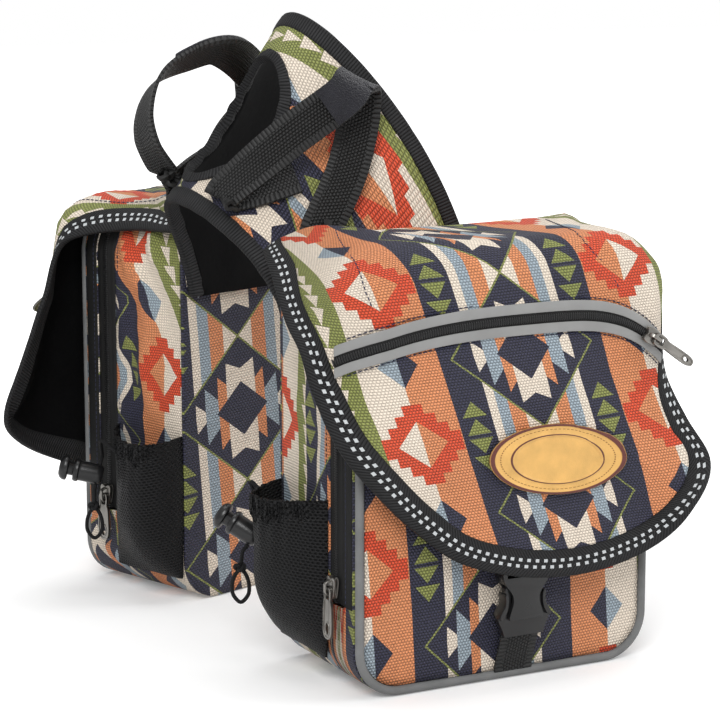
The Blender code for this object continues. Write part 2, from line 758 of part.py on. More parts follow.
def build_patch(side, paint, tree):
    tilt = Matrix.Rotation(PATCH_TILT, 2)

    def at(share, angle, lift):
        flat = Vector((PATCH_WIDTH / 2 * share * math.cos(angle),
                       PATCH_HEIGHT / 2 * share * math.sin(angle)))
        x, z = tilt @ flat
        return on_flap(side, tree, PATCH_X + x, PATCH_Z + z, PATCH_LIFT + PATCH_THICK + lift)

    steps = 24
    loops = [[at(share, 2 * math.pi * step / steps, rise) for step in range(steps)]
             for share, rise in ((1.0, 0), (0.97, PATCH_RIM), (0.88, PATCH_RIM),
                                 (0.85, 0.2 * MM), (0.45, 0))]
    patch = disc_object(side.node("patch"), loops, at(0, 0, 0), paint["patch"], WORLD,
                        side.place(DRAPE_FROM))
    solidify(patch, PATCH_THICK)


# Mesh pockets


def pocket_point(hand, across, up):
    """A point of the pocket's inner face: across from the back to the front, up from its foot."""
    front = ZIP_Y + SLOT_HALF + 2 * MM
    y = -POCKET_REAR + (front + POCKET_REAR) * across
    z = POCKET_FOOT + (POCKET_HEIGHT - POCKET_FOOT) * up
    swell = math.sin(math.pi * across ** 0.62) ** 0.75
    rise = math.sin(math.pi / 2 * min(1, up / 0.5)) ** 0.8 * (1 - 0.12 * up)
    gather = GATHER_DEPTH * (1 + math.sin(2 * math.pi * GATHERS * across)) * up ** 5 * swell
    hem_from = 1 - HEM_BAND / (POCKET_HEIGHT - POCKET_FOOT)
    hem = 0.7 * MM * swell if up > hem_from else 0
    out = GAP + POCKET_BULGE * swell * rise + gather + hem
    sag = -4 * MM * swell * up
    return (hand * (HALF_WIDTH + out), y, z + sag)


def build_pocket(side, paint, hand, name):
    ups = (0, 0.14, 0.34, 0.85, 0.87, 1)
    columns = 15
    rows = [[pocket_point(hand, step / columns, up) for step in range(columns + 1)] for up in ups]
    pocket = grid_object(side.node(name), rows, paint["mesh"], side, BAG_CENTRE)
    solidify(pocket, POCKET_THICK, outward=True)


# Cord locks


def lock_at_front(side, hand):
    """The left bag's near lock hangs at its pocket's front corner, the others at the back."""
    return side.mirrored and hand < 0


def lock_frame(side, hand):
    """The cord lock's frame: its barrel's middle at the origin and its button along +Z."""
    if lock_at_front(side, hand):
        centre = side.place((hand * (HALF_WIDTH + 22 * MM), -68.5 * MM, 80 * MM))
        out = side.direction((hand * 0.68, -0.7, 0.22))
    else:
        centre = side.place((hand * (HALF_WIDTH + 20 * MM), 7 * MM, 79 * MM))
        out = side.direction((hand * 0.62, 0.6, 0.5))
    return frame_at(centre, side.direction((hand * 0.3, -0.2, -1)), out)


def lathe(name, profile, paint, matrix, steps=12):
    """A turned solid from (radius, height) points, given from its top down."""
    mesh = bpy.data.meshes.new(name)
    mesh.from_pydata([(radius, 0, height) for radius, height in profile],
                     [(i, i + 1) for i in range(len(profile) - 1)], [])
    mesh.materials.append(paint)
    item = link(bpy.data.objects.new(name, mesh))
    item.matrix_world = matrix
    screw = item.modifiers.new("turn", "SCREW")
    screw.steps = steps
    screw.render_steps = steps
    screw.use_merge_vertices = True
    screw.merge_threshold = 0.00001
    screw.use_smooth_shade = True
    return item


def build_lock(side, paint, hand, name):
    matrix = lock_frame(side, hand)
    half, bore = LOCK_LENGTH / 2, STEM_RADIUS + GAP
    bore_floor = half - STEM_LENGTH - BUTTON_TRAVEL
    lip = LOCK_RADIUS + LOCK_LIP
    barrel = lathe(side.node(name), [
        (0, bore_floor), (bore, bore_floor), (bore, half), (LOCK_RADIUS + 0.4 * MM, half),
        (lip, half - 1 * MM), (lip, half - 3 * MM), (LOCK_RADIUS, half - 3.6 * MM),
        (LOCK_RADIUS, -half + 2.5 * MM), (LOCK_RADIUS - 1.8 * MM, -half), (0, -half)],
        paint["plastic"], matrix)
    turn = matrix @ Matrix.Translation((0, 0, cord_hole_height()))
    across = Matrix.Rotation(math.pi / 2, 4, "Y")
    drill = cylinder_mesh(side.node(name) + "_drill", CORD_HOLE, 4 * LOCK_RADIUS, 12, across)
    boolean(barrel, drill, "DIFFERENCE", turn)

    cap_at = BUTTON_TRAVEL + GAP
    top = cap_at + BUTTON_CAP
    lathe(side.node(name.replace("lock", "button")), [
        (0, top), (BUTTON_RADIUS * 0.55, top - 0.5 * MM), (BUTTON_RADIUS * 0.9, top - 1.8 * MM),
        (BUTTON_RADIUS, top - 3.4 * MM), (BUTTON_RADIUS, cap_at), (STEM_RADIUS, cap_at),
        (STEM_RADIUS, -STEM_LENGTH), (0, -STEM_LENGTH)], paint["plastic"],
        matrix @ Matrix.Translation((0, 0, half)))


def cord_hole_height():
    """Where the cord crosses the barrel, measured from its middle along the button's axis."""
    half = LOCK_LENGTH / 2
    bore_floor = half - STEM_LENGTH - BUTTON_TRAVEL
    return (bore_floor - half) / 2


def build_cord(side, paint, hand, name):
    """The elastic cord: out of the hem, through the lock, a knot, and a loop that hangs."""
    matrix = lock_frame(side, hand)
    level = cord_hole_height()
    through = [matrix @ Vector((x * MM, 0, level)) for x in (-13, -7.5, 0, 7.5, 12)]
    if lock_at_front(side, hand):
        hem = [(HALF_WIDTH + 21.2 * MM, -43 * MM, POCKET_HEIGHT - 12 * MM),
               (HALF_WIDTH + 25 * MM, -52 * MM, POCKET_HEIGHT - 6 * MM)]
    else:
        hem = [(HALF_WIDTH + 12 * MM, -2.9 * MM, POCKET_HEIGHT - 8 * MM),
               (HALF_WIDTH + 17 * MM, 5 * MM, POCKET_HEIGHT - 2 * MM)]
    keys = [side.place((hand * x, y, z)) for x, y, z in hem] + through
    down = through[-1] + side.direction((hand * 0.1, 0.1, -1)) * 12 * MM
    keys += [down, down + Vector((0, 0, -14 * MM)), down + Vector((0, 0, -24 * MM))]
    tube_object(side.node(name), smooth_path(keys, 2), CORD_RADIUS, paint["tape"])


# Buckle


def buckle_depth():
    """The plane of the buckle's back, in front of the swollen panel."""
    height = SOCKET_FOOT + SOCKET_HEIGHT
    return BODY_FRONT - front_bulge(BUCKLE_X, height) - GAP - WEBBING_THICK - GAP


def build_buckle(side, paint):
    back = buckle_depth()
    middle = back - SOCKET_THICK / 2
    origin = side.place((BUCKLE_X, middle, SOCKET_FOOT))
    matrix = frame_at(origin, side.direction((1, 0, 0)), (0, 0, 1))
    socket = link(bpy.data.objects.new(side.node("buckle_socket"), box_mesh(
        "socket", (SOCKET_WIDTH, SOCKET_THICK, SOCKET_HEIGHT), (0, 0, SOCKET_HEIGHT / 2))))
    socket.data.materials.append(paint["plastic"])
    socket.matrix_world = matrix
    bevel(socket, 2.0 * MM)
    cavity = (SOCKET_WIDTH - 2 * SOCKET_WALL, SOCKET_THICK - 2 * SOCKET_WALL, PLUG_REACH + 2 * MM)
    cut = box_mesh("cavity", (cavity[0], cavity[1], 2 * cavity[2]))
    boolean(socket, cut, "DIFFERENCE", matrix)
    window = box_mesh("window", (SOCKET_WIDTH + 4 * MM, cavity[1], 9 * MM), (0, 0, 12 * MM))
    boolean(socket, window, "DIFFERENCE", matrix)
    slot = box_mesh("slot", (WEBBING + 1.5 * MM, 2 * SOCKET_THICK, 3.4 * MM),
                    (0, 0, SOCKET_HEIGHT - 4.6 * MM))
    boolean(socket, slot, "DIFFERENCE", matrix)

    outline, holes = plug_outline(cavity[0] / 2 - GAP)
    curve = bpy.data.curves.new("plug", "CURVE")
    curve.dimensions = "2D"
    curve.fill_mode = "BOTH"
    curve.extrude = PLUG_THICK / 2
    for points in [outline] + holes:
        spline = curve.splines.new("POLY")
        spline.points.add(len(points) - 1)
        for point, (x, z) in zip(spline.points, points):
            point.co = (x, z, 0, 1)
        spline.use_cyclic_u = True
    curve.materials.append(paint["plastic"])
    plug = link(bpy.data.objects.new(side.node("buckle_plug"), curve))
    plug.matrix_world = matrix @ Matrix.Rotation(math.pi / 2, 4, "X")


def plug_outline(reach_x):
    """The plug's front view with the socket's foot at height 0, and the slot for the webbing."""
    foot, half = -PLUG_FRAME - GAP, SOCKET_WIDTH / 2
    arm = 3.6 * MM
    right = [(half, foot + 2 * MM), (half, -4 * MM), (half - 2 * MM, -GAP), (reach_x, -GAP),
             (reach_x - 1 * MM, 7 * MM), (reach_x, 9 * MM), (reach_x, 14 * MM),
             (reach_x - 5 * MM, PLUG_REACH), (reach_x - 7 * MM, PLUG_REACH - 2 * MM),
             (reach_x - arm - 1 * MM, 9 * MM), (reach_x - arm - 2 * MM, 2.5 * MM), (3.4 * MM, 2.5 * MM),
             (2.2 * MM, PLUG_REACH - 1 * MM)]
    left = [(-x, z) for x, z in reversed(right)]
    outline = [(half - 2 * MM, foot)] + right + left + [(-half + 2 * MM, foot)]
    slot_half = WEBBING / 2 + 0.8 * MM
    low, high = foot + 4.5 * MM, foot + 13 * MM
    return outline, [[(-slot_half, low), (slot_half, low), (slot_half, high), (-slot_half, high)]]


def ribbon(name, path, across, width, thick, material, side):
    """A flat strap along a path, as wide as given along the across direction at each point."""
    rows = [[point - a * width / 2 for point, a in zip(path, across)],
            [point + a * width / 2 for point, a in zip(path, across)]]
    strap = solidify(grid_object(name, rows, material, side, BAG_CENTRE), thick)
    strap.modifiers["thickness"].offset = 0
    return strap


def build_webbing(side, paint):
    """Up from the bottom seam behind the plug's bar, over it and down again as a tail."""
    middle = buckle_depth() - SOCKET_THICK / 2
    bar_low = SOCKET_FOOT - PLUG_FRAME - GAP
    bar_high = bar_low + 4.5 * MM
    half = WEBBING_THICK / 2
    behind = middle + PLUG_THICK / 2 + GAP + half
    before = middle - PLUG_THICK / 2 - GAP - half
    over = bar_high + GAP + half
    points = [
        (BUCKLE_X, BODY_FRONT - PIPING_RADIUS - 2 * GAP - half, 1 * MM),
        (BUCKLE_X, min(behind, BODY_FRONT - PIPING_RADIUS - 2 * GAP - half), 9 * MM),
        (BUCKLE_X, behind, 13 * MM), (BUCKLE_X, behind, over - 0.5 * MM),
        (BUCKLE_X, behind - 1.2 * MM, over + 0.8 * MM), (BUCKLE_X, before + 1.2 * MM, over + 0.8 * MM),
        (BUCKLE_X, before, over - 0.5 * MM), (BUCKLE_X, before, bar_low - 2 * MM),
        (BUCKLE_X, before + 1 * MM, bar_low - 14 * MM)]
    path = [Vector(point) for point in points]
    across = [Vector((1, 0, 0))] * len(path)
    ribbon(side.node("buckle_webbing"), path, across, WEBBING, WEBBING_THICK, paint["tape"], side)

    foot = SOCKET_FOOT + SOCKET_HEIGHT - 6 * MM
    back = buckle_depth() + GAP + half
    tab = [Vector((BUCKLE_X, back, z)) for z in (foot, foot + 12 * MM)]
    flap = Flap(side)
    column = min(range(flap.free), key=lambda i: abs(flap.edge[i].x - BUCKLE_X)
                 + (1 if flap.edge[i].z > BAG_HEIGHT / 2 else 0))
    for share in (0.1, 0.25):
        sewn = flap.point(column, share)
        tab.append(Vector((BUCKLE_X, sewn.y + 2 * GAP + half, sewn.z)))
    ribbon(side.node("buckle_tab"), tab, across[:len(tab)], WEBBING, WEBBING_THICK,
           paint["tape"], side)


# Yoke


YOKE_INSIDE = Vector((BAG_SHIFT, BAG_SPREAD / 2, YOKE_FOOT))


def yoke_point(across, angle):
    """A point of the yoke: across from its near edge to its far one, angle 0 at the right bag."""
    foot_x = YOKE_NEAR_FOOT_X + (YOKE_FAR_FOOT_X - YOKE_NEAR_FOOT_X) * across
    crest_x = YOKE_NEAR_CREST_X + (YOKE_FAR_CREST_X - YOKE_NEAR_CREST_X) * across
    rise = YOKE_NEAR_RISE + (YOKE_FAR_RISE - YOKE_NEAR_RISE) * across
    inset = GAP + (YOKE_THICK - LINING_THICK + YOKE_BINDING_THICK) / 2 + 0.2 * MM
    start = RIGHT.place((foot_x, inset, YOKE_FOOT))
    end = LEFT.place((foot_x, inset, YOKE_FOOT))
    middle, reach = (start + end) / 2, (end - start) / 2
    height = max(math.sin(angle), 0)
    lean = (crest_x - middle.x) * height ** YOKE_LEAN_POWER
    skew = YOKE_NEAR_SKEW * (1 - across) * height ** 2
    return middle - reach * math.cos(angle) + Vector((lean, skew, rise * math.sin(angle)))


def yoke_normal(across, angle):
    """Up and out of the yoke."""
    step = 0.01
    along = yoke_point(across + step, angle) - yoke_point(across - step, angle)
    around = yoke_point(across, angle + step) - yoke_point(across, angle - step)
    return along.cross(around).normalized()


def horn_loop(margin, count):
    """Shares and angles round the horn hole, grown by a margin in metres."""
    middle, half = (HORN_START + HORN_END) / 2, (HORN_END - HORN_START) / 2
    centre = yoke_point(middle, math.pi / 2)
    width = (yoke_point(1, math.pi / 2) - yoke_point(0, math.pi / 2)).length
    around = (yoke_point(middle, math.pi / 2 + 0.1) - centre).length / 0.1
    loop = []
    for step in range(count):
        turn = 2 * math.pi * step / count
        loop.append((middle + (half + margin / width) * math.cos(turn),
                     math.pi / 2 + (HORN_HALF_ANGLE + margin / around) * math.sin(turn)))
    return loop


def yoke_frame_loop(count, near, far):
    """Shares and angles round the yoke's own edge, matched to the hole's loop."""
    loop = []
    for step in range(count):
        turn = 2 * math.pi * step / count
        c, s = math.cos(turn), math.sin(turn)
        reach = 1 / max(abs(c), abs(s))
        across = (near + far) / 2 + (far - near) / 2 * c * reach
        loop.append((across, math.pi / 2 + math.pi / 2 * s * reach))
    return loop


def build_yoke(paint):
    width = (yoke_point(1, math.pi / 2) - yoke_point(0, math.pi / 2)).length
    trim = (YOKE_BINDING + YOKE_SEAM) / width
    hole = horn_loop(HORN_BINDING + YOKE_SEAM, YOKE_STEPS)
    edge = yoke_frame_loop(YOKE_STEPS, trim, 1 - trim)

    def rows(lift):
        result = []
        for share in (0, 0.3, 0.65, 1):
            row = []
            for (a0, t0), (a1, t1) in zip(hole, edge):
                across, angle = a0 + (a1 - a0) * share, t0 + (t1 - t0) * share
                row.append(yoke_point(across, angle) + yoke_normal(across, angle) * lift)
            result.append(row)
        return result

    panel = grid_object("yoke_panel", rows(0), paint["print"], WORLD, YOKE_INSIDE, ring=True)
    solidify(panel, YOKE_THICK, outward=True)
    lining = grid_object("yoke_lining", rows(-2 * GAP), paint["lining"], WORLD, YOKE_INSIDE, ring=True)
    solidify(lining, LINING_THICK)

    quarter = YOKE_STEPS // 8
    under = (YOKE_THICK - LINING_THICK - YOKE_BINDING_THICK) / 2
    for name, start, end in (("yoke_near_binding", 0, YOKE_BINDING / width),
                             ("yoke_far_binding", 1 - YOKE_BINDING / width, 1)):
        bands = []
        for across in (start, end):
            row = []
            for step in range(-quarter, quarter + 1):
                angle = math.pi / 2 * (1 + math.tan(2 * math.pi * step / YOKE_STEPS))
                row.append(yoke_point(across, angle) + yoke_normal(across, angle) * under)
            bands.append(row)
        band = grid_object(name, bands, paint["tape"], WORLD, YOKE_INSIDE)
        solidify(band, YOKE_BINDING_THICK, outward=True)

    rings = [[yoke_point(across, angle) + yoke_normal(across, angle) * under
              for across, angle in horn_loop(margin, YOKE_STEPS)] for margin in (0, HORN_BINDING)]
    ring = grid_object("horn_binding", rings, paint["tape"], WORLD, YOKE_INSIDE, ring=True)
    solidify(ring, YOKE_BINDING_THICK, outward=True)


# Handles


def on_yoke(across, angle, lift):
    return yoke_point(across, angle) + yoke_normal(across, angle) * (YOKE_THICK + lift)


def strap_path(keys, steps=4):
    """The middle line of a strap and its width direction, through keys of both."""
    path = smooth_path([point for point, _ in keys], steps)
    widths = smooth_path([width.normalized() for _, width in keys], steps)
    across = []
    for index, width in enumerate(widths):
        along = path[min(index + 1, len(path) - 1)] - path[max(index - 1, 0)]
        width = width - along * (width.dot(along) / along.length_squared)
        across.append(width.normalized())
    return path, across


def yoke_around(across, angle):
    """The yoke's own direction from the right bag towards the left one."""
    return (yoke_point(across, angle + 0.01) - yoke_point(across, angle)).normalized()


def yoke_along(across, angle):
    """The yoke's own direction from its near edge towards its far one."""
    return (yoke_point(across + 0.01, angle) - yoke_point(across, angle)).normalized()


def build_handles(paint):
    """Two webbing loops, one each side of the horn hole, both ends sewn flat on the yoke."""
    lift = HANDLE_LIFT + HANDLE_THICK / 2
    base, fold = math.radians(48), math.radians(60)

    def point(x, y, z):
        return Vector((x, y, z)) * MM

    def sewn_end(turned):
        """The end that is sewn below the hole and folds back on itself at the near edge."""
        def at(across, angle, rise):
            angle = math.pi - angle if turned else angle
            rise += LEFT_HANDLE_RISE if turned else 0
            return on_yoke(across, angle, lift + rise), yoke_around(0.15, angle) * (-1 if turned else 1)

        return [at(0.42, base, 0), at(0.28, base + 0.08, 0), at(0.15, fold, 0),
                at(0.115, fold, 2.6 * MM), at(0.15, fold, 6 * MM)]

    def foot_end(degrees, past, rise):
        end = math.radians(degrees)
        return [(on_yoke(0.33, end, lift + 1 * MM + rise), yoke_along(0.33, end) * -1),
                (on_yoke(0.35, end + past, lift + rise), yoke_along(0.33, end) * -1)]

    left_keys = sewn_end(True) + [
        (point(-131, 113, 300), Vector((0.05, -0.97, 0.25))),
        (point(-133, 112, 319), Vector((0, -0.95, 0.3))),
        (point(-124, 110, 339), Vector((-0.1, -0.9, 0.42))),
        (point(-104, 108, 350), Vector((-0.1, -0.8, 0.6))),
        (point(-80, 109, 354), Vector((-0.05, -0.75, 0.65))),
        (on_yoke(0.84, math.radians(124), 10 * MM), Vector((-0.4, -0.6, 0.68))),
        (on_yoke(0.78, math.radians(134), 16 * MM), Vector((-0.8, -0.45, 0.4))),
        (on_yoke(0.55, math.radians(135), 12 * MM), Vector((-0.9, -0.35, 0.1))),
    ] + foot_end(140, 0.03, LEFT_HANDLE_RISE)
    right_keys = sewn_end(False) + [
        (point(-78, 26, 308), Vector((-0.56, 0.44, 0.69))),
        (point(-50, 12, 331), Vector((-0.62, 0.46, 0.62))),
        (point(-40, 15, 340), Vector((-0.72, 0.48, 0.5))),
        (point(-32, 23, 335), Vector((-0.78, 0.49, 0.4))),
        (point(-34, 22, 314), Vector((-0.83, 0.49, 0.27))),
        (point(-45, 17, 285), Vector((-0.83, 0.49, 0.27))),
    ] + foot_end(29, -0.05, 0)
    steps = 4
    for label, keys, hand, first, last in (("left", left_keys, -1, 7.6, 9.4),
                                           ("right", right_keys, 1, 5.7, 8.3)):
        path, across = strap_path(keys, steps)
        ribbon(f"{label}_handle", path, across, HANDLE_WIDTH, HANDLE_THICK, paint["tape"], WORLD)
        patch, patch_across = [], []
        for index in range(round(first * steps), round(last * steps) + 1):
            outward = (path[index + 1] - path[index - 1]).cross(across[index]).normalized() * hand
            patch.append(path[index] + outward * (HANDLE_THICK / 2 + HOOK_PATCH_GAP
                                                  + HOOK_PATCH_THICK / 2))
            patch_across.append(across[index])
        ribbon(f"{label}_hook_patch", patch, patch_across, HOOK_PATCH_WIDTH, HOOK_PATCH_THICK,
               paint["tape"], WORLD)


def build_bag(side, paint):
    build_body(side, paint)
    build_main_zip(side, paint)
    build_main_slider(side, paint)
    build_flap(side, paint)
    tree = flap_tree(side)
    build_flap_zip(side, paint, tree)
    build_flap_slider(side, paint, tree)
    if not side.mirrored:
        build_patch(side, paint, tree)
    for hand, label in ((-1, "near"), (1, "far")):
        build_pocket(side, paint, hand, f"{label}_pocket")
        build_lock(side, paint, hand, f"{label}_lock")
        build_cord(side, paint, hand, f"{label}_cord")
    build_buckle(side, paint)
    build_webbing(side, paint)


def stand_at_origin():
    """Move everything so that the middle of the whole box's foot is at the origin."""
    bpy.context.view_layer.update()
    depsgraph = bpy.context.evaluated_depsgraph_get()
    points = []
    for item in bpy.data.collections[COLLECTION].objects:
        finished = item.evaluated_get(depsgraph)
        points += [item.matrix_world @ vertex.co for vertex in finished.to_mesh().vertices]
        finished.to_mesh_clear()
    low = Vector(min(point[axis] for point in points) for axis in range(3))
    high = Vector(max(point[axis] for point in points) for axis in range(3))
    foot = Vector(((low.x + high.x) / 2, (low.y + high.y) / 2, low.z))
    for name in (COLLECTION, CUTTERS):
        for item in bpy.data.collections[name].objects:
            item.location -= foot


def main():
    clear_scene()
    paint = make_materials()
    for side in (RIGHT, LEFT):
        build_bag(side, paint)
    build_yoke(paint)
    build_handles(paint)
    stand_at_origin()


main()
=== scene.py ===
"""The dressed pommel bags: cloth, webbing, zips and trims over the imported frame.

The right bag is drawn with its back on the plane Y = 0 and its front towards -Y, as in the part's
own source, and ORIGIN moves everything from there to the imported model's frame.
"""
import math

import bmesh
import bpy
from mathutils import Matrix, Vector, noise
from mathutils.bvhtree import BVHTree


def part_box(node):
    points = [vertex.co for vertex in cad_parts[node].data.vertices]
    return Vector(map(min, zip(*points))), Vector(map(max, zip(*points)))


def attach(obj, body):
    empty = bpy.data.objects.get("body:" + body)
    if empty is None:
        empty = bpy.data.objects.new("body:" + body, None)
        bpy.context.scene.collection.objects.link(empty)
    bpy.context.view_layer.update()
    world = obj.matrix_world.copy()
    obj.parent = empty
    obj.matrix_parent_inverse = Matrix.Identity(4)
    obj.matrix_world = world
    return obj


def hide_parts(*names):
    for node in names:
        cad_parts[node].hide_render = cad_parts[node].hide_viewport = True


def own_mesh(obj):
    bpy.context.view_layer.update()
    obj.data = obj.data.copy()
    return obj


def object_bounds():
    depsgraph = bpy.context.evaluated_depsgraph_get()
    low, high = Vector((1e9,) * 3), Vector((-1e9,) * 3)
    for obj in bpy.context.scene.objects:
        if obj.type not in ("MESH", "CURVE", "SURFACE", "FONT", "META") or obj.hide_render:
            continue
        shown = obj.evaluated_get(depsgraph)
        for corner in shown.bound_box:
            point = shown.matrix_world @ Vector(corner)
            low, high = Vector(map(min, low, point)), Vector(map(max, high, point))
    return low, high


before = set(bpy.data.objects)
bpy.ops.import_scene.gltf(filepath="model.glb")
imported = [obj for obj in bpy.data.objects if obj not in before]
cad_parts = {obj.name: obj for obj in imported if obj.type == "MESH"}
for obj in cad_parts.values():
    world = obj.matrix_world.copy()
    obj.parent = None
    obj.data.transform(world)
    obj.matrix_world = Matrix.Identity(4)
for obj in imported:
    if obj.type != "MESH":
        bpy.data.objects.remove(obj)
CAD_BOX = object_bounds()

MM = 0.001
GAP = 0.3 * MM               # between solids that touch on the real bag

# Bag body
BAG_WIDTH = 195 * MM
BAG_HEIGHT = 248 * MM
BAG_DEPTH = 96 * MM
CORNER_RADIUS = 28 * MM
CLOTH = 2.4 * MM             # padded cloth of the body panels
FRONT_BULGE = 5 * MM
PIPING_RADIUS = 2.6 * MM
LINER_WALL = 1.2 * MM
LINER_MOUTH = 9 * MM         # from the front seam back to the liner's open edge

# The left bag's place across the gap
BAG_SPREAD = 161 * MM        # between the middles of the two backs
BAG_SHIFT = -10 * MM         # of the left bag along X
BAG_TURN = math.radians(19)

# Main zip, round the sides and top of each bag
ZIP_SET_BACK = 23 * MM       # from the front seam to the zip's middle
ZIP_TAPE = 17 * MM
ZIP_COIL = 5 * MM
ZIP_START = 52 * MM          # height of its lower ends
TAPE_THICK = 1.2 * MM
COIL_RISE = 1.2 * MM

# Zip sliders and pulls
SLIDER_LENGTH = 13 * MM
SLIDER_THICK = 3.2 * MM
CROWN_WIDTH = 2.2 * MM
CROWN_WALL = 1.4 * MM
CROWN_REACH = 3.2 * MM       # half the crown's inner length
PULL_BAR = 1.6 * MM          # the bar that the crown holds
CROWN_INNER = 2.7 * MM       # height of the crown's window, so that the bar can turn in it
PULL_LENGTH = 30 * MM
PULL_WIDTH = 10 * MM
PULL_THICK = 1.6 * MM
FLAP_PULL_LENGTH = 32 * MM
FLAP_PULL_WIDTH = 6 * MM

# Flap
FLAP_STANDOFF = 7 * MM       # over the faces of the body
FLAP_SEWN_GAP = 0.5 * MM     # the same at the edge sewn to the back
FLAP_SEWN_RUN = 30 * MM      # the way from that edge to the full standoff
FLAP_CORE = 7 * MM           # how far inside the faces its fold is centred
NEAR_CORE = 16 * MM          # the same on the right bag's near side, which is softer
FLAP_THICK = 2.4 * MM
BINDING_WIDTH = 18 * MM
BINDING_THICK = 2.8 * MM
RIGHT_FLARE = 38 * MM        # how far each flap's loose corner reaches past the side
LEFT_FLARE = 62 * MM
# The loose corner of each flap from the hem up: share of the flare, mm ahead of the front seam
# and mm over the hem
RIGHT_LOOSE = ((0, 17, 12), (0.62, 19, 36), (0.78, 18, 58), (0.5, 10, 80), (0.27, 1, 102),
               (0.18, -9, 127), (0.19, -24, 150))
LEFT_LOOSE = ((0, 15, 12), (0.75, 11, 36), (1, 4, 58), (0.775, 0, 96), (0.55, -4, 132),
              (0.34, -8, 164))
HEM_HEIGHT = 63 * MM
HEM_STANDOFF = 19 * MM
# The right flap's edge on its near side and how far its keys flare out, in mm
NEAR_EDGE = ((-106, -24.7, 234.4), (-107, -55.4, 210.3), (-107, -73.8, 195.4),
             (-107, -85.5, 175.8), (-104.3, -99.4, 148.3), (-88.9, -108, 121), (-66, -111, 96))
NEAR_FLARE = ((-2, 0, 0), (-8, 0, 2), (-13, 0, 2), (-13, 0, 2), (-12, -1, 1), (-8, -4, 0),
              (-3, -3, 0), (0, -1, 0))
FULL_FLARE = 13 * MM
FLARE_DRAW = 0.28            # share of the way in that a full flare takes up
FLARE_RUN = 34 * MM          # the way in from the edge over which the flare fades
NEAR_WRAP = 0.56             # how far round the right flap's near side its print runs, to 1

# Flap pocket zip
FLAP_ZIP_CREST = BAG_HEIGHT - 35 * MM
FLAP_ZIP_NEAR_FALL = 10 * MM  # from the crest to the end on the hugging side
FLAP_ZIP_FAR_FALL = 27 * MM  # and to the end on the flaring side
FLAP_ZIP_NEAR_HALF = 122 * MM  # from the middle to the same two ends, before they wrap round
FLAP_ZIP_FAR_HALF = 94 * MM
FLAP_ZIP_TAPE = 21 * MM
FLAP_ZIP_COIL = 5 * MM
FLAP_ZIP_LIFT = 1.5 * MM     # of its under face over the flap
FLAP_ZIP_THICK = 1.0 * MM
FLAP_ZIP_TUCK = 14 * MM      # more fall of its near end, where the binding takes it in
TAPE_MARGIN = 1.5 * MM       # of plain cloth outside each reflective tape

# Patch on the near flap
PATCH_WIDTH = 88 * MM
PATCH_HEIGHT = 41 * MM
PATCH_THICK = 1.8 * MM
PATCH_RIM = 0.8 * MM
PATCH_X = 22 * MM
PATCH_DRAW = 0.955           # of its width, over the curve of the flap
PATCH_Z = 131 * MM
PATCH_TILT = math.radians(-6)
PATCH_LIFT = 0.5 * MM        # of its under face over the flap

# Mesh pockets
POCKET_HEIGHT = 110 * MM
POCKET_FOOT = 17 * MM
POCKET_REAR = 3 * MM         # from the back of the bag
POCKET_BULGE = 26 * MM
POCKET_THICK = 1.4 * MM
HEM_BAND = 13 * MM
GATHERS = 6
GATHER_DEPTH = 1.1 * MM

# Cord locks
CORD_RADIUS = 1.2 * MM
LOCK_RADIUS = 6.6 * MM
LOCK_LENGTH = 19 * MM
LOCK_LIP = 1.0 * MM
BUTTON_CAP = 6 * MM
STEM_RADIUS = 4.4 * MM
STEM_LENGTH = 9 * MM
BUTTON_TRAVEL = 3.5 * MM
CORD_HOLE = 2.0 * MM         # radius of the hole that the cord runs through

# Side-release buckle
WEBBING = 25 * MM
WEBBING_THICK = 1.6 * MM
SOCKET_HEIGHT = 31 * MM
SOCKET_THICK = 10 * MM
SOCKET_FOOT = 43 * MM        # height of its lower edge
BUCKLE_DROP = 4 * MM         # of the buckle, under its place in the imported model
PLUG_BAR = 10.5 * MM         # from the socket's lower edge down to the bar's own
PLUG_BAR_HEIGHT = 3.5 * MM
WEBBING_FOOT = 4.4 * MM      # height where it is sewn to the bottom seam
PLUG_THICK = 4.6 * MM
BUCKLE_X = 5 * MM

# Yoke
YOKE_FOOT = 200 * MM         # height where it is sewn to the backs
YOKE_NEAR_FOOT_X = 3.5 * MM - BAG_WIDTH / 2
YOKE_FAR_FOOT_X = 38 * MM
YOKE_NEAR_CREST_X = YOKE_NEAR_FOOT_X - 30 * MM
YOKE_FAR_CREST_X = -43 * MM
YOKE_NEAR_RISE = 65 * MM
YOKE_FAR_RISE = 177 * MM
YOKE_NEAR_SKEW = 22 * MM     # of the near crest towards the left bag
YOKE_LEAN_POWER = 1.6
YOKE_THICK = 2.2 * MM
LINING_THICK = 1.4 * MM
YOKE_BINDING = 11 * MM
YOKE_BINDING_THICK = 5 * MM
HORN_START = 0.15            # along the crest, as shares of the yoke's width
HORN_END = 0.76
HORN_HALF_ANGLE = math.radians(24)
HORN_BINDING = 6 * MM
YOKE_SEAM = 0.7 * MM         # between the bindings and the panel they bind

# Handles
HANDLE_WIDTH = 25 * MM
HANDLE_THICK = 1.8 * MM
LEFT_HANDLE_RISE = 2.6 * MM  # more of it where the yoke bends hardest
HANDLE_LIFT = 1.6 * MM       # of its sewn ends over the yoke
HOOK_PATCH_WIDTH = 24 * MM
HOOK_PATCH_THICK = 1.6 * MM
HOOK_PATCH_GAP = 0.5 * MM    # between it and the webbing

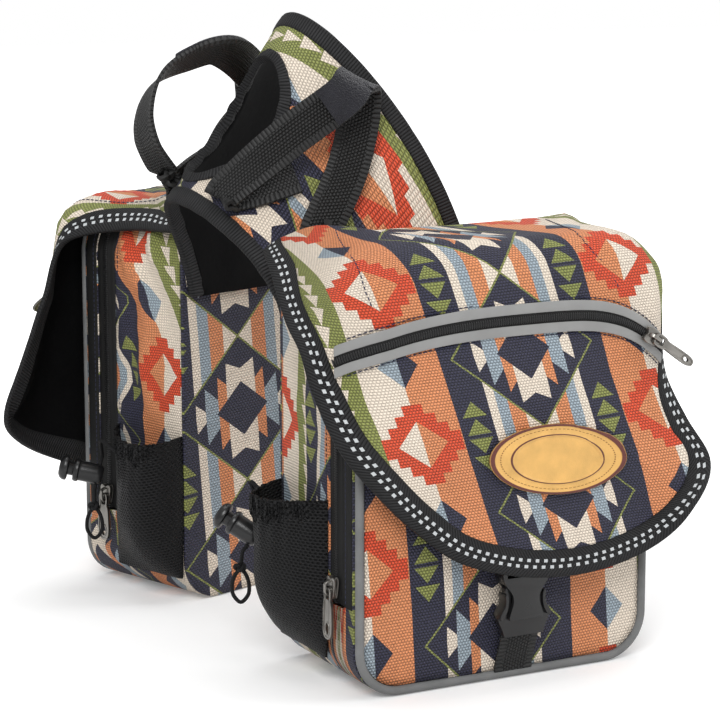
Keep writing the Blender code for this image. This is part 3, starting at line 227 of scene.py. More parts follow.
BODY_FRONT = -BAG_DEPTH
HALF_WIDTH = BAG_WIDTH / 2
PIPING_INSET = PIPING_RADIUS
PANEL_INSET = 2 * PIPING_RADIUS + GAP
GUSSET_FRONT = BODY_FRONT + PIPING_RADIUS + GAP
ZIP_Y = BODY_FRONT + ZIP_SET_BACK
SLOT_HALF = ZIP_TAPE / 2 + GAP
BAG_CENTRE = Vector((0, BODY_FRONT / 2, BAG_HEIGHT / 2))
DRAPE_FROM = Vector((0, -0.2 * BAG_DEPTH, 0.2 * BAG_HEIGHT))
FLAP_ROOT = Vector((0, -GAP, BAG_HEIGHT + FLAP_SEWN_GAP))
FLAP_SEWN_SHARES = (0.72, 0.38, 0, -0.38, -0.72)
FLAP_MIDDLE = Vector((0.05 * HALF_WIDTH, BODY_FRONT - FLAP_STANDOFF, 0.72 * BAG_HEIGHT))

BACK_LOW, BACK_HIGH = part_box("right_back_panel")
ORIGIN = Vector(((BACK_LOW.x + BACK_HIGH.x) / 2, BACK_HIGH.y, 0))
BODY = "bags"

# The camera's place in mm, and its axes
CAMERA_PLACE = (-718.6, -1283.8, 444.6)
CAMERA_LENS = 123.8
CAMERA_AXES = {"right": (0.885, -0.465, 0), "up": (0.085, 0.161, 0.983),
               "back": (-0.457, -0.870, 0.182)}


class Side:
    """One bag's place: the right bag as drawn, the left one mirrored and turned."""

    def __init__(self, name, mirrored):
        self.name = name
        self.mirrored = mirrored
        turn = Matrix.Rotation(BAG_TURN, 4, "Z") if mirrored else Matrix.Identity(4)
        shift = Vector((BAG_SHIFT, BAG_SPREAD, 0)) if mirrored else Vector((0, 0, 0))
        self.matrix = Matrix.Translation(shift) @ turn

    def place(self, point):
        x, y, z = point
        return self.matrix @ Vector((x, -y if self.mirrored else y, z))

    def direction(self, vector):
        return (self.place(vector) - self.place((0, 0, 0))).normalized()

    def node(self, part):
        return f"{self.name}_{part}"


RIGHT = Side("right", False)
LEFT = Side("left", True)
YOKE_INSIDE = Vector((BAG_SHIFT, BAG_SPREAD / 2, YOKE_FOOT))


def frame_at(origin, x_axis, z_axis):
    """A placement with its Z along z_axis and its X as near x_axis as can be."""
    z_axis = Vector(z_axis).normalized()
    y_axis = z_axis.cross(Vector(x_axis)).normalized()
    x_axis = y_axis.cross(z_axis)
    rotation = Matrix((x_axis, y_axis, z_axis)).transposed().to_4x4()
    return Matrix.Translation(origin) @ rotation


def smooth_path(keys, steps):
    """Points on a Catmull-Rom curve through the keys."""
    keys = [Vector(key) for key in keys]
    ends = [2 * keys[0] - keys[1]] + keys + [2 * keys[-1] - keys[-2]]
    path = []
    for index in range(1, len(ends) - 2):
        a, b, c, d = ends[index - 1:index + 3]
        for step in range(steps):
            t = step / steps
            path.append(0.5 * (2 * b + (c - a) * t + (2 * a - 5 * b + 4 * c - d) * t * t
                               + (3 * b - a - 3 * c + d) * t ** 3))
    path.append(keys[-1])
    return path


def front_bulge(x, z):
    """How far the front panel swells out of its plane."""
    middle = BAG_HEIGHT / 2
    across = 1 - min(1, (x / HALF_WIDTH) ** 2)
    up = 1 - min(1, ((z - middle) / middle) ** 2)
    return FRONT_BULGE * across * up


def flap_standoff(y):
    share = min(1, max(0, -y) / FLAP_SEWN_RUN)
    return FLAP_SEWN_GAP + (FLAP_STANDOFF - FLAP_SEWN_GAP) * share * share * (3 - 2 * share)


def edge_keys(side):
    """The flap's free edge from the back corner that hugs the side round to the one that flares.

    With it goes how far each key flares out, on the right flap's near side.
    """
    front, top, hem = BODY_FRONT, BAG_HEIGHT, HEM_HEIGHT
    hug = -HALF_WIDTH - FLAP_STANDOFF
    out = front - HEM_STANDOFF
    keys = [(hug, -1 * MM, top - 4 * MM)]
    if side.mirrored:
        reach, loose, flare = LEFT_FLARE, LEFT_LOOSE, []
        keys += [
            (hug - 3 * MM, 0.25 * front, top - 30 * MM),
            (hug - 2 * MM, 0.68 * front, top - 82 * MM),
            (hug - 0.5 * MM, 0.93 * front, hem + 88 * MM),
            (hug + 9 * MM, front - 8 * MM, hem + 72 * MM),
            (hug + 34 * MM, front - 13 * MM, hem + 40 * MM),
        ]
    else:
        reach, loose = RIGHT_FLARE, RIGHT_LOOSE
        flare = [Vector(key) * MM for key in NEAR_FLARE]
        keys += [Vector(key) * MM for key in NEAR_EDGE]
    keys += [(-0.4 * HALF_WIDTH, out, hem + 14 * MM), (0.06 * HALF_WIDTH, out, hem + 1 * MM),
             (0.55 * HALF_WIDTH, out, hem)]
    keys += [(HALF_WIDTH + reach * share, front - ahead * MM, hem + up * MM)
             for share, ahead, up in loose]
    keys += [(HALF_WIDTH + 3 * MM, 0.55 * front, top - 11 * MM),
             (HALF_WIDTH + 2 * MM, -1 * MM, top - 8 * MM)]
    if side.mirrored:
        keys = [(-x, y, z) for x, y, z in keys]
    return keys, flare + [Vector()] * (len(keys) - len(flare))


def lock_at_front(side, hand):
    """The left bag's near lock hangs at its pocket's front corner, the others at the back."""
    return side.mirrored and hand < 0


def lock_frame(side, hand):
    """The cord lock's frame: its barrel's middle at the origin and its button along +Z."""
    if lock_at_front(side, hand):
        centre = side.place((hand * (HALF_WIDTH + 22 * MM), -68.5 * MM, 80 * MM))
        out = side.direction((hand * 0.68, -0.7, 0.22))
    else:
        centre = side.place((hand * (HALF_WIDTH + 20 * MM), 7 * MM, 79 * MM))
        out = side.direction((hand * 0.62, 0.6, 0.5))
    return frame_at(centre, side.direction((hand * 0.3, -0.2, -1)), out)


def cord_hole_height():
    """Where the cord crosses the barrel, measured from its middle along the button's axis."""
    half = LOCK_LENGTH / 2
    bore_floor = half - STEM_LENGTH - BUTTON_TRAVEL
    return (bore_floor - half) / 2


def buckle_depth():
    """The plane of the buckle's back, in front of the swollen panel."""
    height = SOCKET_FOOT + SOCKET_HEIGHT
    return BODY_FRONT - front_bulge(BUCKLE_X, height) - GAP - WEBBING_THICK - GAP


def pull_bar_height():
    """From the slider's under face to the middle of the pull's bar."""
    return SLIDER_THICK + CROWN_INNER / 2


def yoke_point(across, angle):
    """A point of the yoke: across from its near edge to its far one, angle 0 at the right bag."""
    foot_x = YOKE_NEAR_FOOT_X + (YOKE_FAR_FOOT_X - YOKE_NEAR_FOOT_X) * across
    crest_x = YOKE_NEAR_CREST_X + (YOKE_FAR_CREST_X - YOKE_NEAR_CREST_X) * across
    rise = YOKE_NEAR_RISE + (YOKE_FAR_RISE - YOKE_NEAR_RISE) * across
    inset = GAP + (YOKE_THICK - LINING_THICK + YOKE_BINDING_THICK) / 2 + 0.2 * MM
    start = RIGHT.place((foot_x, inset, YOKE_FOOT))
    end = LEFT.place((foot_x, inset, YOKE_FOOT))
    middle, reach = (start + end) / 2, (end - start) / 2
    height = max(math.sin(angle), 0)
    lean = (crest_x - middle.x) * height ** YOKE_LEAN_POWER
    skew = YOKE_NEAR_SKEW * (1 - across) * height ** 2
    return middle - reach * math.cos(angle) + Vector((lean, skew, rise * math.sin(angle)))


def yoke_normal(across, angle):
    """Up and out of the yoke."""
    step = 0.01
    along = yoke_point(across + step, angle) - yoke_point(across - step, angle)
    around = yoke_point(across, angle + step) - yoke_point(across, angle - step)
    return along.cross(around).normalized()


def horn_loop(margin, count):
    """Shares and angles round the horn hole, grown by a margin in metres."""
    middle, half = (HORN_START + HORN_END) / 2, (HORN_END - HORN_START) / 2
    centre = yoke_point(middle, math.pi / 2)
    width = (yoke_point(1, math.pi / 2) - yoke_point(0, math.pi / 2)).length
    around = (yoke_point(middle, math.pi / 2 + 0.1) - centre).length / 0.1
    loop = []
    for step in range(count):
        turn = 2 * math.pi * step / count
        loop.append((middle + (half + margin / width) * math.cos(turn),
                     math.pi / 2 + (HORN_HALF_ANGLE + margin / around) * math.sin(turn)))
    return loop


def yoke_frame_loop(count, near, far):
    """Shares and angles round the yoke's own edge, matched to the hole's loop."""
    loop = []
    for step in range(count):
        turn = 2 * math.pi * step / count
        c, s = math.cos(turn), math.sin(turn)
        reach = 1 / max(abs(c), abs(s))
        across = (near + far) / 2 + (far - near) / 2 * c * reach
        loop.append((across, math.pi / 2 + math.pi / 2 * s * reach))
    return loop


def on_yoke(across, angle, lift):
    return yoke_point(across, angle) + yoke_normal(across, angle) * (YOKE_THICK + lift)


def strap_path(keys, steps=4):
    """The middle line of a strap and its width direction, through keys of both."""
    path = smooth_path([point for point, _ in keys], steps)
    widths = smooth_path([width.normalized() for _, width in keys], steps)
    across = []
    for index, width in enumerate(widths):
        along = path[min(index + 1, len(path) - 1)] - path[max(index - 1, 0)]
        width = width - along * (width.dot(along) / along.length_squared)
        across.append(width.normalized())
    return path, across


def yoke_around(across, angle):
    """The yoke's own direction from the right bag towards the left one."""
    return (yoke_point(across, angle + 0.01) - yoke_point(across, angle)).normalized()


def yoke_along(across, angle):
    """The yoke's own direction from its near edge towards its far one."""
    return (yoke_point(across + 0.01, angle) - yoke_point(across, angle)).normalized()


def flap_zip_place(reach):
    """How far across, away from the hugging side, and how high the zip is at a reach of -1 to 1."""
    if reach < 0:
        return FLAP_ZIP_NEAR_HALF * reach, FLAP_ZIP_CREST - FLAP_ZIP_NEAR_FALL * reach ** 2
    return FLAP_ZIP_FAR_HALF * reach, FLAP_ZIP_CREST - FLAP_ZIP_FAR_FALL * reach ** 4


def pocket_point(hand, across, up):
    """A point of the pocket's inner face: across from the back to the front, up from its foot."""
    front = ZIP_Y + SLOT_HALF + 2 * MM
    y = -POCKET_REAR + (front + POCKET_REAR) * across
    z = POCKET_FOOT + (POCKET_HEIGHT - POCKET_FOOT) * up
    swell = math.sin(math.pi * across ** 0.62) ** 0.75
    rise = math.sin(math.pi / 2 * min(1, up / 0.5)) ** 0.8 * (1 - 0.12 * up)
    gather = GATHER_DEPTH * (1 + math.sin(2 * math.pi * GATHERS * across)) * up ** 5 * swell
    hem_from = 1 - HEM_BAND / (POCKET_HEIGHT - POCKET_FOOT)
    hem = 0.7 * MM * swell if up > hem_from else 0
    out = GAP + POCKET_BULGE * swell * rise + gather + hem
    sag = -4 * MM * swell * up
    return (hand * (HALF_WIDTH + out), y, z + sag)


# Finishes


class Wires:
    """Adds nodes to one shader tree and joins them up."""

    def __init__(self, tree):
        self.nodes, self.links = tree.nodes, tree.links

    def feed(self, socket, value):
        if isinstance(value, bpy.types.NodeSocket):
            self.links.new(value, socket)
        elif isinstance(value, tuple) and len(value) == 3 and socket.type == "RGBA":
            socket.default_value = (*value, 1)
        else:
            socket.default_value = value

    def node(self, kind, *values, **settings):
        made = self.nodes.new("ShaderNode" + kind)
        for key, value in settings.items():
            setattr(made, key, value)
        for socket, value in zip(made.inputs, values):
            if value is not None:
                self.feed(socket, value)
        return made

    def sum(self, operation, *values):
        return self.node("Math", *values, operation=operation).outputs[0]

    def mix(self, share, first, second):
        made = self.node("Mix", data_type="RGBA")
        for name, value in (("Factor_Float", share), ("A_Color", first), ("B_Color", second)):
            self.feed(next(s for s in made.inputs if s.identifier == name), value)
        return next(s for s in made.outputs if s.identifier == "Result_Color")

    def place(self, uv=True):
        """The piece's own UV map, in millimetres, or its Object coordinates in metres."""
        return self.node("TexCoord").outputs["UV" if uv else "Object"]

    def apart(self, vector):
        return self.node("SeparateXYZ", vector).outputs[:]

    def noise(self, vector, scale, detail=3.0):
        made = self.node("TexNoise")
        self.feed(made.inputs["Vector"], vector)
        made.inputs["Scale"].default_value = scale
        made.inputs["Detail"].default_value = detail
        return made.outputs["Fac"]

    def ramp(self, value, stops, stepped=False):
        made = self.node("ValToRGB", value)
        band = made.color_ramp
        band.interpolation = "CONSTANT" if stepped else "LINEAR"
        while len(band.elements) < len(stops):
            band.elements.new(1.0)
        for element, (at, colour) in zip(band.elements, stops):
            element.position = at
            colour = colour if isinstance(colour, tuple) else (colour,) * 3
            element.color = (*colour, 1)
        return made.outputs["Color"]

    def bump(self, height, depth, strength=1.0):
        made = self.node("Bump")
        made.inputs["Strength"].default_value = strength
        made.inputs["Distance"].default_value = depth
        self.feed(made.inputs["Height"], height)
        return made.outputs["Normal"]

    def dress(self, shader, colour, height, depth, strength=1.0):
        """Give a shader its colour and its relief."""
        self.feed(shader.inputs["Base Color"], colour)
        self.feed(shader.inputs["Normal"], self.bump(height, depth, strength))

    def group(self, tree, **values):
        made = self.node("Group", node_tree=tree)
        for name, value in values.items():
            self.feed(made.inputs[name.replace("_", " ").title()], value)
        return made.outputs


def effect(name, inputs, outputs):
    """A shader node group with named inputs and outputs, and its wires."""
    tree = bpy.data.node_groups.new(name, "ShaderNodeTree")
    for label, kind, value in inputs:
        socket = tree.interface.new_socket(label, in_out="INPUT", socket_type="NodeSocket" + kind)
        if value is not None:
            socket.default_value = value
    for label, kind in outputs:
        tree.interface.new_socket(label, in_out="OUTPUT", socket_type="NodeSocket" + kind)
    wires = Wires(tree)
    taken = tree.nodes.new("NodeGroupInput").outputs
    given = tree.nodes.new("NodeGroupOutput").inputs
    return tree, wires, taken, given


def srgb(red, green, blue):
    return tuple(((c / 255 + 0.055) / 1.055) ** 2.4 if c > 10 else c / 3294.6
                 for c in (red, green, blue))


NAVY, OLIVE = srgb(50, 50, 70), srgb(140, 146, 80)
CREAM, PEACH = srgb(240, 226, 208), srgb(226, 146, 98)
RED_ORANGE, PALE_BLUE = srgb(222, 82, 48), srgb(160, 174, 184)
BLACK = srgb(26, 26, 27)
REPEAT = 118.0               # from one figure's middle to the olive band's, in mm
DIAMOND = 47.0               # half of the outlined diamond, both ways


def weave_effect():
    """Basket weave: plump pillows of yarn in staggered rows, with painted highlights on them and
    painted shade in the gaps.
    """
    tree, w, taken, given = effect(
        "basket_weave", [("Place", "Vector", None), ("Pitch", "Float", 2.05)],
        [("Height", "Float"), ("Painted Light And Yarn", "Float")])
    x, y, _ = w.apart(taken["Place"])
    x, y = (w.sum("DIVIDE", c, taken["Pitch"]) for c in (x, y))
    y = w.sum("MULTIPLY", y, 1.22)
    row = w.sum("FLOOR", y)
    x = w.sum("ADD", x, w.sum("MULTIPLY", w.sum("MODULO", row, 2.0), 0.5))
    across, up = (w.sum("ABSOLUTE", w.sum("SINE", w.sum("MULTIPLY", c, math.pi))) for c in (x, y))
    pillow = w.sum("POWER", w.sum("MULTIPLY", across, up), 0.6)
    cell = w.node("CombineXYZ", w.sum("FLOOR", x), row)
    yarn = w.node("TexWhiteNoise", cell.outputs[0]).outputs["Value"]
    w.feed(given["Height"], pillow)
    # Painted light: each pillow's top painted lighter and the gaps darker, with a random tone per
    # yarn
    w.feed(given["Painted Light And Yarn"], w.sum("MULTIPLY_ADD", pillow, 1.12,
                                w.sum("MULTIPLY_ADD", yarn, 0.14, 0.12)))
    return tree


def rib_effect():
    """Ribs across a tape: u runs along it, in mm, and v across it, with painted highlights on the
    rib tops.
    """
    tree, w, taken, given = effect(
        "woven_ribs", [("Place", "Vector", None), ("Pitch", "Float", 1.5), ("Lean", "Float", 0.0),
                       ("Yarns", "Float", 1.2)],
        [("Height", "Float"), ("Painted Light And Yarn", "Float")])
    x, y, _ = w.apart(taken["Place"])
    lean = w.sum("MULTIPLY_ADD", y, taken["Lean"], x)
    rib = w.sum("ABSOLUTE", w.sum("SINE", w.sum("MULTIPLY", w.sum("DIVIDE", lean, taken["Pitch"]),
                                                math.pi)))
    yarn = w.sum("ABSOLUTE", w.sum("SINE", w.sum("MULTIPLY", w.sum("DIVIDE", y, taken["Yarns"]),
                                                 math.pi)))
    height = w.sum("MULTIPLY", w.sum("POWER", rib, 0.6), w.sum("MULTIPLY_ADD", yarn, 0.3, 0.7))
    w.feed(given["Height"], height)
    # Painted light: the rib tops painted lighter and the grooves between them darker
    w.feed(given["Painted Light And Yarn"], w.sum("MULTIPLY_ADD", height, 0.9, 0.45))
    return tree


def print_effect():
    """Bands of stepped and split diamonds, triangles and sawteeth, mirrored about each figure."""
    tree, w, taken, given = effect("banded_print", [("Place", "Vector", None)],
                                   [("Colour", "Color")])
    u, v, _ = w.apart(taken["Place"])
    q = w.sum("PINGPONG", u, REPEAT)
    r = w.sum("ABSOLUTE", w.sum("WRAP", v, DIAMOND, -DIAMOND))
    s = w.sum("ABSOLUTE", w.sum("WRAP", w.sum("SUBTRACT", v, DIAMOND), DIAMOND, -DIAMOND))
    share = w.sum("DIVIDE", q, REPEAT)

    def bands(*stops):
        return w.ramp(share, [(at / REPEAT, colour) for at, colour in stops], stepped=True)

    def less(a, b):
        return w.sum("LESS_THAN", a, b)

    def both(*masks):
        result = masks[0]
        for mask in masks[1:]:
            result = w.sum("MULTIPLY", result, mask)
        return result

    def reach(x, y, half_x, half_y):
        return w.sum("ADD", w.sum("DIVIDE", x, half_x), w.sum("DIVIDE", y, half_y))

    colour = bands((0, CREAM), (10, PEACH), (19.5, PALE_BLUE), (27, CREAM), (32.5, NAVY),
                   (54.7, PEACH), (80.5, CREAM), (105, OLIVE))
    out = reach(q, r, DIAMOND, DIAMOND)
    colour = w.mix(less(out, 1.0), colour, NAVY)
    limits = [(0, 26), (9.7, 31), (9.71, 17), (16.5, 23.8), (16.51, 9), (25.4, 18), (25.41, 3),
              (32.5, 9.4), (32.51, 0)]
    limit = w.sum("MULTIPLY", w.ramp(share, [(a / REPEAT, b / DIAMOND) for a, b in limits]),
                  DIAMOND)
    figure = both(less(r, limit), w.sum("GREATER_THAN", reach(q, r, 18.0, 17.5), 1.0))
    colour = w.mix(figure, colour, bands((0, CREAM), (9.7, PEACH), (16.5, PALE_BLUE),
                                         (25.4, CREAM)))
    line = less(w.sum("ABSOLUTE", w.sum("SUBTRACT", out, 1.0)), 0.017)
    colour = w.mix(line, colour, OLIVE)

    tooth = w.sum("WRAP", w.sum("SUBTRACT", s, 1.2), 10.8, 0.0)
    slope = w.sum("MULTIPLY_ADD", tooth, -8.0 / 9.4, 8.0)
    column = both(less(w.sum("ABSOLUTE", w.sum("SUBTRACT", q, 43.5)), slope), less(tooth, 9.4),
                  less(s, 22.0), w.sum("GREATER_THAN", s, 1.2))
    colour = w.mix(column, colour, OLIVE)

    side = w.sum("SUBTRACT", q, 80.5)
    away = w.sum("ABSOLUTE", side)
    step = w.sum("MULTIPLY", w.sum("FLOOR", w.sum("DIVIDE", s, 6.0)), 6.25)
    stepped = both(less(away, w.sum("SUBTRACT", 25.0, step)), less(s, 24.0))
    colour = w.mix(stepped, colour, RED_ORANGE)
    halves = w.mix(w.sum("GREATER_THAN", side, 0.0), PEACH, CREAM)
    colour = w.mix(less(reach(away, s, 15.5, 14.0), 1.0), colour, halves)
    halves = w.mix(w.sum("GREATER_THAN", side, 0.0), NAVY, PALE_BLUE)
    colour = w.mix(less(reach(away, r, 12.0, 13.0), 1.0), colour, halves)

    saw = w.sum("MULTIPLY", w.sum("FRACT", w.sum("DIVIDE", v, 11.75)), 4.8)
    teeth = less(w.sum("SUBTRACT", REPEAT, q), saw)
    colour = w.mix(teeth, colour, CREAM)
    w.feed(given["Colour"], colour)
    return tree


WEAVE, RIBS, PRINT = weave_effect(), rib_effect(), print_effect()


def finish_of(name, roughness, metallic=0.0, sheen=0.0, gloss=0.5):
    """A new material, its wires and its shader."""
    material = bpy.data.materials.new(name)
    material.use_nodes = True
    shader = material.node_tree.nodes["Principled BSDF"]
    for socket, value in (("Roughness", roughness), ("Metallic", metallic),
                          ("Sheen Weight", sheen), ("Specular IOR Level", gloss)):
        shader.inputs[socket].default_value = value
    return material, Wires(material.node_tree), shader


def tone(w, colour, value):
    """A colour made darker or lighter by a value."""
    made = w.node("HueSaturation")
    w.feed(made.inputs["Value"], value)
    w.feed(made.inputs["Color"], colour)
    return made.outputs["Color"]


def make_print():
    material, w, shader = finish_of("printed_polyester", 0.55, sheen=0.02, gloss=0.4)
    place = w.place()
    woven = w.group(WEAVE, place=place)
    soil = w.ramp(w.noise(w.place(False), 22.0), [(0.3, 0.93), (0.75, 1.03)])
    print_colour = w.group(PRINT, place=place)["Colour"]
    # Painted light from the weave: painted shade in its gaps and painted highlights on its pillows,
    # weaker on light colours; soil is a random tone
    light = w.sum("POWER", w.node("RGBToBW", print_colour).outputs[0], 0.5)
    hollow = w.sum("MULTIPLY", w.sum("SUBTRACT", 1.0, woven["Painted Light And Yarn"]),
                   w.sum("MULTIPLY_ADD", light, -1.0, 1.3))
    colour = tone(w, print_colour, w.sum("MULTIPLY", w.sum("SUBTRACT", 1.0, hollow), soil))
    w.dress(shader, colour, woven["Height"], 0.0007)
    return material


def make_tape(name, colour, pitch, lean=0.0, yarns=1.2, depth=0.0004, roughness=0.7, low=0.5,
              gloss=0.2):
    material, w, shader = finish_of(name, roughness, gloss=gloss)
    ribs = w.group(RIBS, place=w.place(), pitch=pitch, lean=lean, yarns=yarns)
    wear = w.ramp(w.noise(w.place(False), 60.0), [(0.35, 0.85), (0.7, 1.1)])
    # The ribs' painted light: painted highlights on their tops and painted shade between them, down
    # to low; wear is a random tone
    value = w.sum("MULTIPLY", w.sum("MULTIPLY_ADD", ribs["Painted Light And Yarn"], 1.2 - low, low), wear)
    w.dress(shader, tone(w, colour, value), ribs["Height"], depth)
    return material


def make_webbing():
    """Heavy webbing: a basket of fat yarns between two ribbed edges, with painted highlights and
    painted shade on both.
    """
    material, w, shader = finish_of("ribbed_webbing", 0.5, gloss=0.3)
    place = w.place()
    _, v, _ = w.apart(place)
    ribs = w.group(RIBS, place=place, pitch=2.7, yarns=30.0)
    basket = w.group(WEAVE, place=place, pitch=2.3)
    edge = w.sum("GREATER_THAN", w.sum("ABSOLUTE", w.sum("SUBTRACT", v, 12.5)), 8.2)
    value, height = (w.sum("MULTIPLY_ADD", edge, w.sum("SUBTRACT", ribs[name], basket[name]),
                           basket[name]) for name in ("Painted Light And Yarn", "Height"))
    # Stretched so the painted highlights on the yarn tops and the painted shade between them show
    # stronger
    value = w.sum("MULTIPLY_ADD", value, 1.9, -0.7)
    w.dress(shader, tone(w, srgb(34, 34, 34), value), height, 0.0009)
    return material


def make_jacquard():
    """Black herringbone with two staggered rows of bright squares."""
    material, w, shader = finish_of("jacquard_braid", 0.55, gloss=0.25)
    place = w.place()
    u, v, _ = w.apart(place)
    side = w.sum("ABSOLUTE", w.sum("SUBTRACT", v, 9.0))
    folded = w.node("CombineXYZ", u, side).outputs[0]
    ribs = w.group(RIBS, place=folded, pitch=2.2, lean=0.8, yarns=9.0)
    rows = None
    for middle, start in ((7.0, 0.0), (11.0, 1.4)):
        along = w.sum("ABSOLUTE", w.sum("WRAP", w.sum("SUBTRACT", u, start), 2.9, -2.9))
        across = w.sum("ABSOLUTE", w.sum("SUBTRACT", v, middle))
        square = w.sum("MULTIPLY", w.sum("LESS_THAN", along, 1.25),
                       w.sum("LESS_THAN", across, 1.05))
        rows = square if rows is None else w.sum("MAXIMUM", rows, square)
    # Painted highlights on the herringbone's rib tops and painted shade between them
    black = tone(w, BLACK, w.sum("MULTIPLY_ADD", ribs["Painted Light And Yarn"], 2.2, -1.0))
    w.feed(shader.inputs["Roughness"], w.sum("MULTIPLY_ADD", rows, -0.25, 0.65))
    height = w.sum("MAXIMUM", ribs["Height"], w.sum("MULTIPLY", rows, 1.2))
    w.dress(shader, w.mix(rows, black, srgb(190, 194, 196)), height, 0.0007)
    return material


def make_mesh_knit():
    """Close knitted mesh: rows of small slanted holes, painted dark as painted shade."""
    material, w, shader = finish_of("knitted_mesh", 0.5, gloss=0.2)
    u, v, _ = w.apart(w.place())
    v = w.sum("MULTIPLY_ADD", u, 0.12, v)
    row = w.sum("FLOOR", w.sum("DIVIDE", v, 1.9))
    shift = w.sum("MULTIPLY", w.sum("MODULO", row, 2.0), 1.5)
    x = w.sum("ABSOLUTE", w.sum("WRAP", w.sum("ADD", u, shift), 1.5, -1.5))
    y = w.sum("ABSOLUTE", w.sum("SUBTRACT", w.sum("WRAP", v, 1.9, 0.0), 0.95))
    away = w.sum("SQRT", w.sum("ADD", w.sum("POWER", w.sum("DIVIDE", x, 0.75), 2.0),
                               w.sum("POWER", w.sum("DIVIDE", y, 0.42), 2.0)))
    height = w.sum("MINIMUM", away, 1.9)
    # Painted shade: darker towards each hole's middle, lighter on the knit between the holes
    value = w.sum("MULTIPLY_ADD", height, 0.75, -0.15)
    w.dress(shader, tone(w, srgb(22, 22, 23), value), height, 0.0008)
    return material


def make_plain(name, colour, roughness, depth=0.0001, scale=900.0, metallic=0.0, low=0.9, sheen=0.0,
               gloss=0.5):
    """Moulded plastic, metal, lining or thread, told apart by grain and gloss."""
    material, w, shader = finish_of(name, roughness, metallic, sheen, gloss)
    place = w.place(False)
    grain, patch = w.noise(place, scale, 4.0), w.noise(place, 45.0)
    value = w.ramp(patch, [(0.3, low), (0.7, 1.06)])
    w.feed(shader.inputs["Roughness"], w.sum("MULTIPLY_ADD", patch, 0.16, roughness - 0.08))
    w.dress(shader, tone(w, colour, value), grain, depth)
    return material


def make_patch_leather():
    """Tan leather, darker and redder on the raised rims, with a pressed stitch line."""
    material, w, shader = finish_of("grained_patch", 0.5)
    place = w.place(False)
    u, v, _ = w.apart(w.place())
    ring = w.sum("SQRT", w.sum("ADD", w.sum("POWER", u, 2.0), w.sum("POWER", v, 2.0)))
    # The rims are maroon; at the very outer edge the colour turns back towards tan, a painted
    # highlight on the rounded edge
    rim = w.ramp(ring, [(0.0, 0.0), (0.675, 0.0), (0.68, 1.0), (0.7, 1.0), (0.705, 0.0),
                        (0.925, 0.0), (0.935, 1.0), (0.985, 1.0), (0.99, 0.45)])
    turn = w.sum("ARCTAN2", v, u)
    dash = w.sum("GREATER_THAN", w.sum("SINE", w.sum("MULTIPLY", turn, 84.0)), -0.35)
    on_line = w.sum("LESS_THAN", w.sum("ABSOLUTE", w.sum("SUBTRACT", ring, 0.845)), 0.009)
    stitch = w.sum("MULTIPLY", dash, on_line)
    mottle = w.ramp(w.noise(place, 90.0, 5.0), [(0.3, 0.86), (0.7, 1.08)])
    tan = tone(w, srgb(222, 174, 98), mottle)
    colour = w.mix(rim, tan, srgb(96, 46, 40))
    colour = w.mix(stitch, colour, srgb(150, 104, 50))
    grain = w.noise(place, 1400.0, 4.0)
    height = w.sum("SUBTRACT", w.sum("MULTIPLY_ADD", rim, 2.0, grain),
                   w.sum("MULTIPLY", stitch, 2.0))
    w.dress(shader, colour, height, 0.0003, 0.7)
    return material


PAINT = {
    "print": make_print(),
    "lining": make_plain("black_lining", srgb(10, 10, 11), 0.75, 0.0003, 260.0, gloss=0.1),
    "webbing": make_webbing(),
    "grosgrain": make_tape("ribbed_grosgrain", srgb(36, 36, 37), 1.9, 0.0, 9.0, 0.0009, low=-0.35),
    "tape": make_tape("zip_tape", srgb(26, 26, 26), 1.0, 0.6, 0.9, 0.0001, low=0.8),
    "jacquard": make_jacquard(),
    "reflective": make_plain("reflective_tape", srgb(140, 140, 139), 0.5, 0.00008, 700.0),
    "piping": make_tape("piping_cloth", srgb(108, 109, 109), 0.7, 0.3, 0.7, 0.0001, 0.6, 0.85),
    "mesh": make_mesh_knit(),
    "plush": make_plain("hook_patch", srgb(44, 44, 50), 0.95, 0.002, 900.0, sheen=0.3, low=0.6,
                        gloss=0.1),
    "plastic": make_plain("moulded_plastic", srgb(25, 25, 26), 0.3, 0.00005, 500.0),
    "coil": make_plain("zip_coil", srgb(24, 24, 25), 0.45, 0.00003, 900.0),
    "metal": make_plain("pewter_metal", srgb(150, 147, 142), 0.34, 0.00003, 1200.0, metallic=0.95,
                        low=0.75),
    "patch": make_patch_leather(),
    "thread": make_plain("navy_thread", srgb(34, 38, 66), 0.6, 0.0001, 2500.0),
    "cord": make_tape("braided_cord", srgb(23, 23, 24), 1.3, 0.9, 0.8, 0.0003, low=0.3),
}


# Making pieces


def put(name, data):
    """A new object in the scene."""
    item = bpy.data.objects.new(name, data)
    bpy.context.scene.collection.objects.link(item)
    return item


def mesh_of(name, shape):
    """A mesh from a shape, which is used up."""
    mesh = bpy.data.meshes.new(name)
    shape.to_mesh(mesh)
    shape.free()
    return mesh


def evaluated(item):
    """An object's mesh with its modifiers made part of it."""
    depsgraph = bpy.context.evaluated_depsgraph_get()
    return bpy.data.meshes.new_from_object(item.evaluated_get(depsgraph), depsgraph=depsgraph)


def bake(item):
    mesh = evaluated(item)
    item.modifiers.clear()
    item.data = mesh


def cut_out(item, shape):
    """Take a shape away from a piece."""
    tool = put("tool", mesh_of("tool", shape))
    away = item.modifiers.new("cut", "BOOLEAN")
    away.operation, away.object, away.solver = "DIFFERENCE", tool, "EXACT"
    bake(item)
    bpy.data.objects.remove(tool, do_unlink=True)


def finished(name, mesh, material, body=BODY, replaces=(), inner=None):
    """An object for a mesh whose places are final, on its body."""
    mesh.materials.append(PAINT[material])
    if inner:
        mesh.materials.append(PAINT[inner])
    item = put(name, mesh)
    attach(item, body)
    if replaces:
        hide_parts(*replaces)
    return item


def creases(place, size, seed=0.0):
    """A slow rise and fall from -1 to 1 over a size in metres."""
    at = place / size + Vector((seed, 2.7 * seed, -seed))
    return noise.noise(at) + 0.5 * noise.noise(2.1 * at)


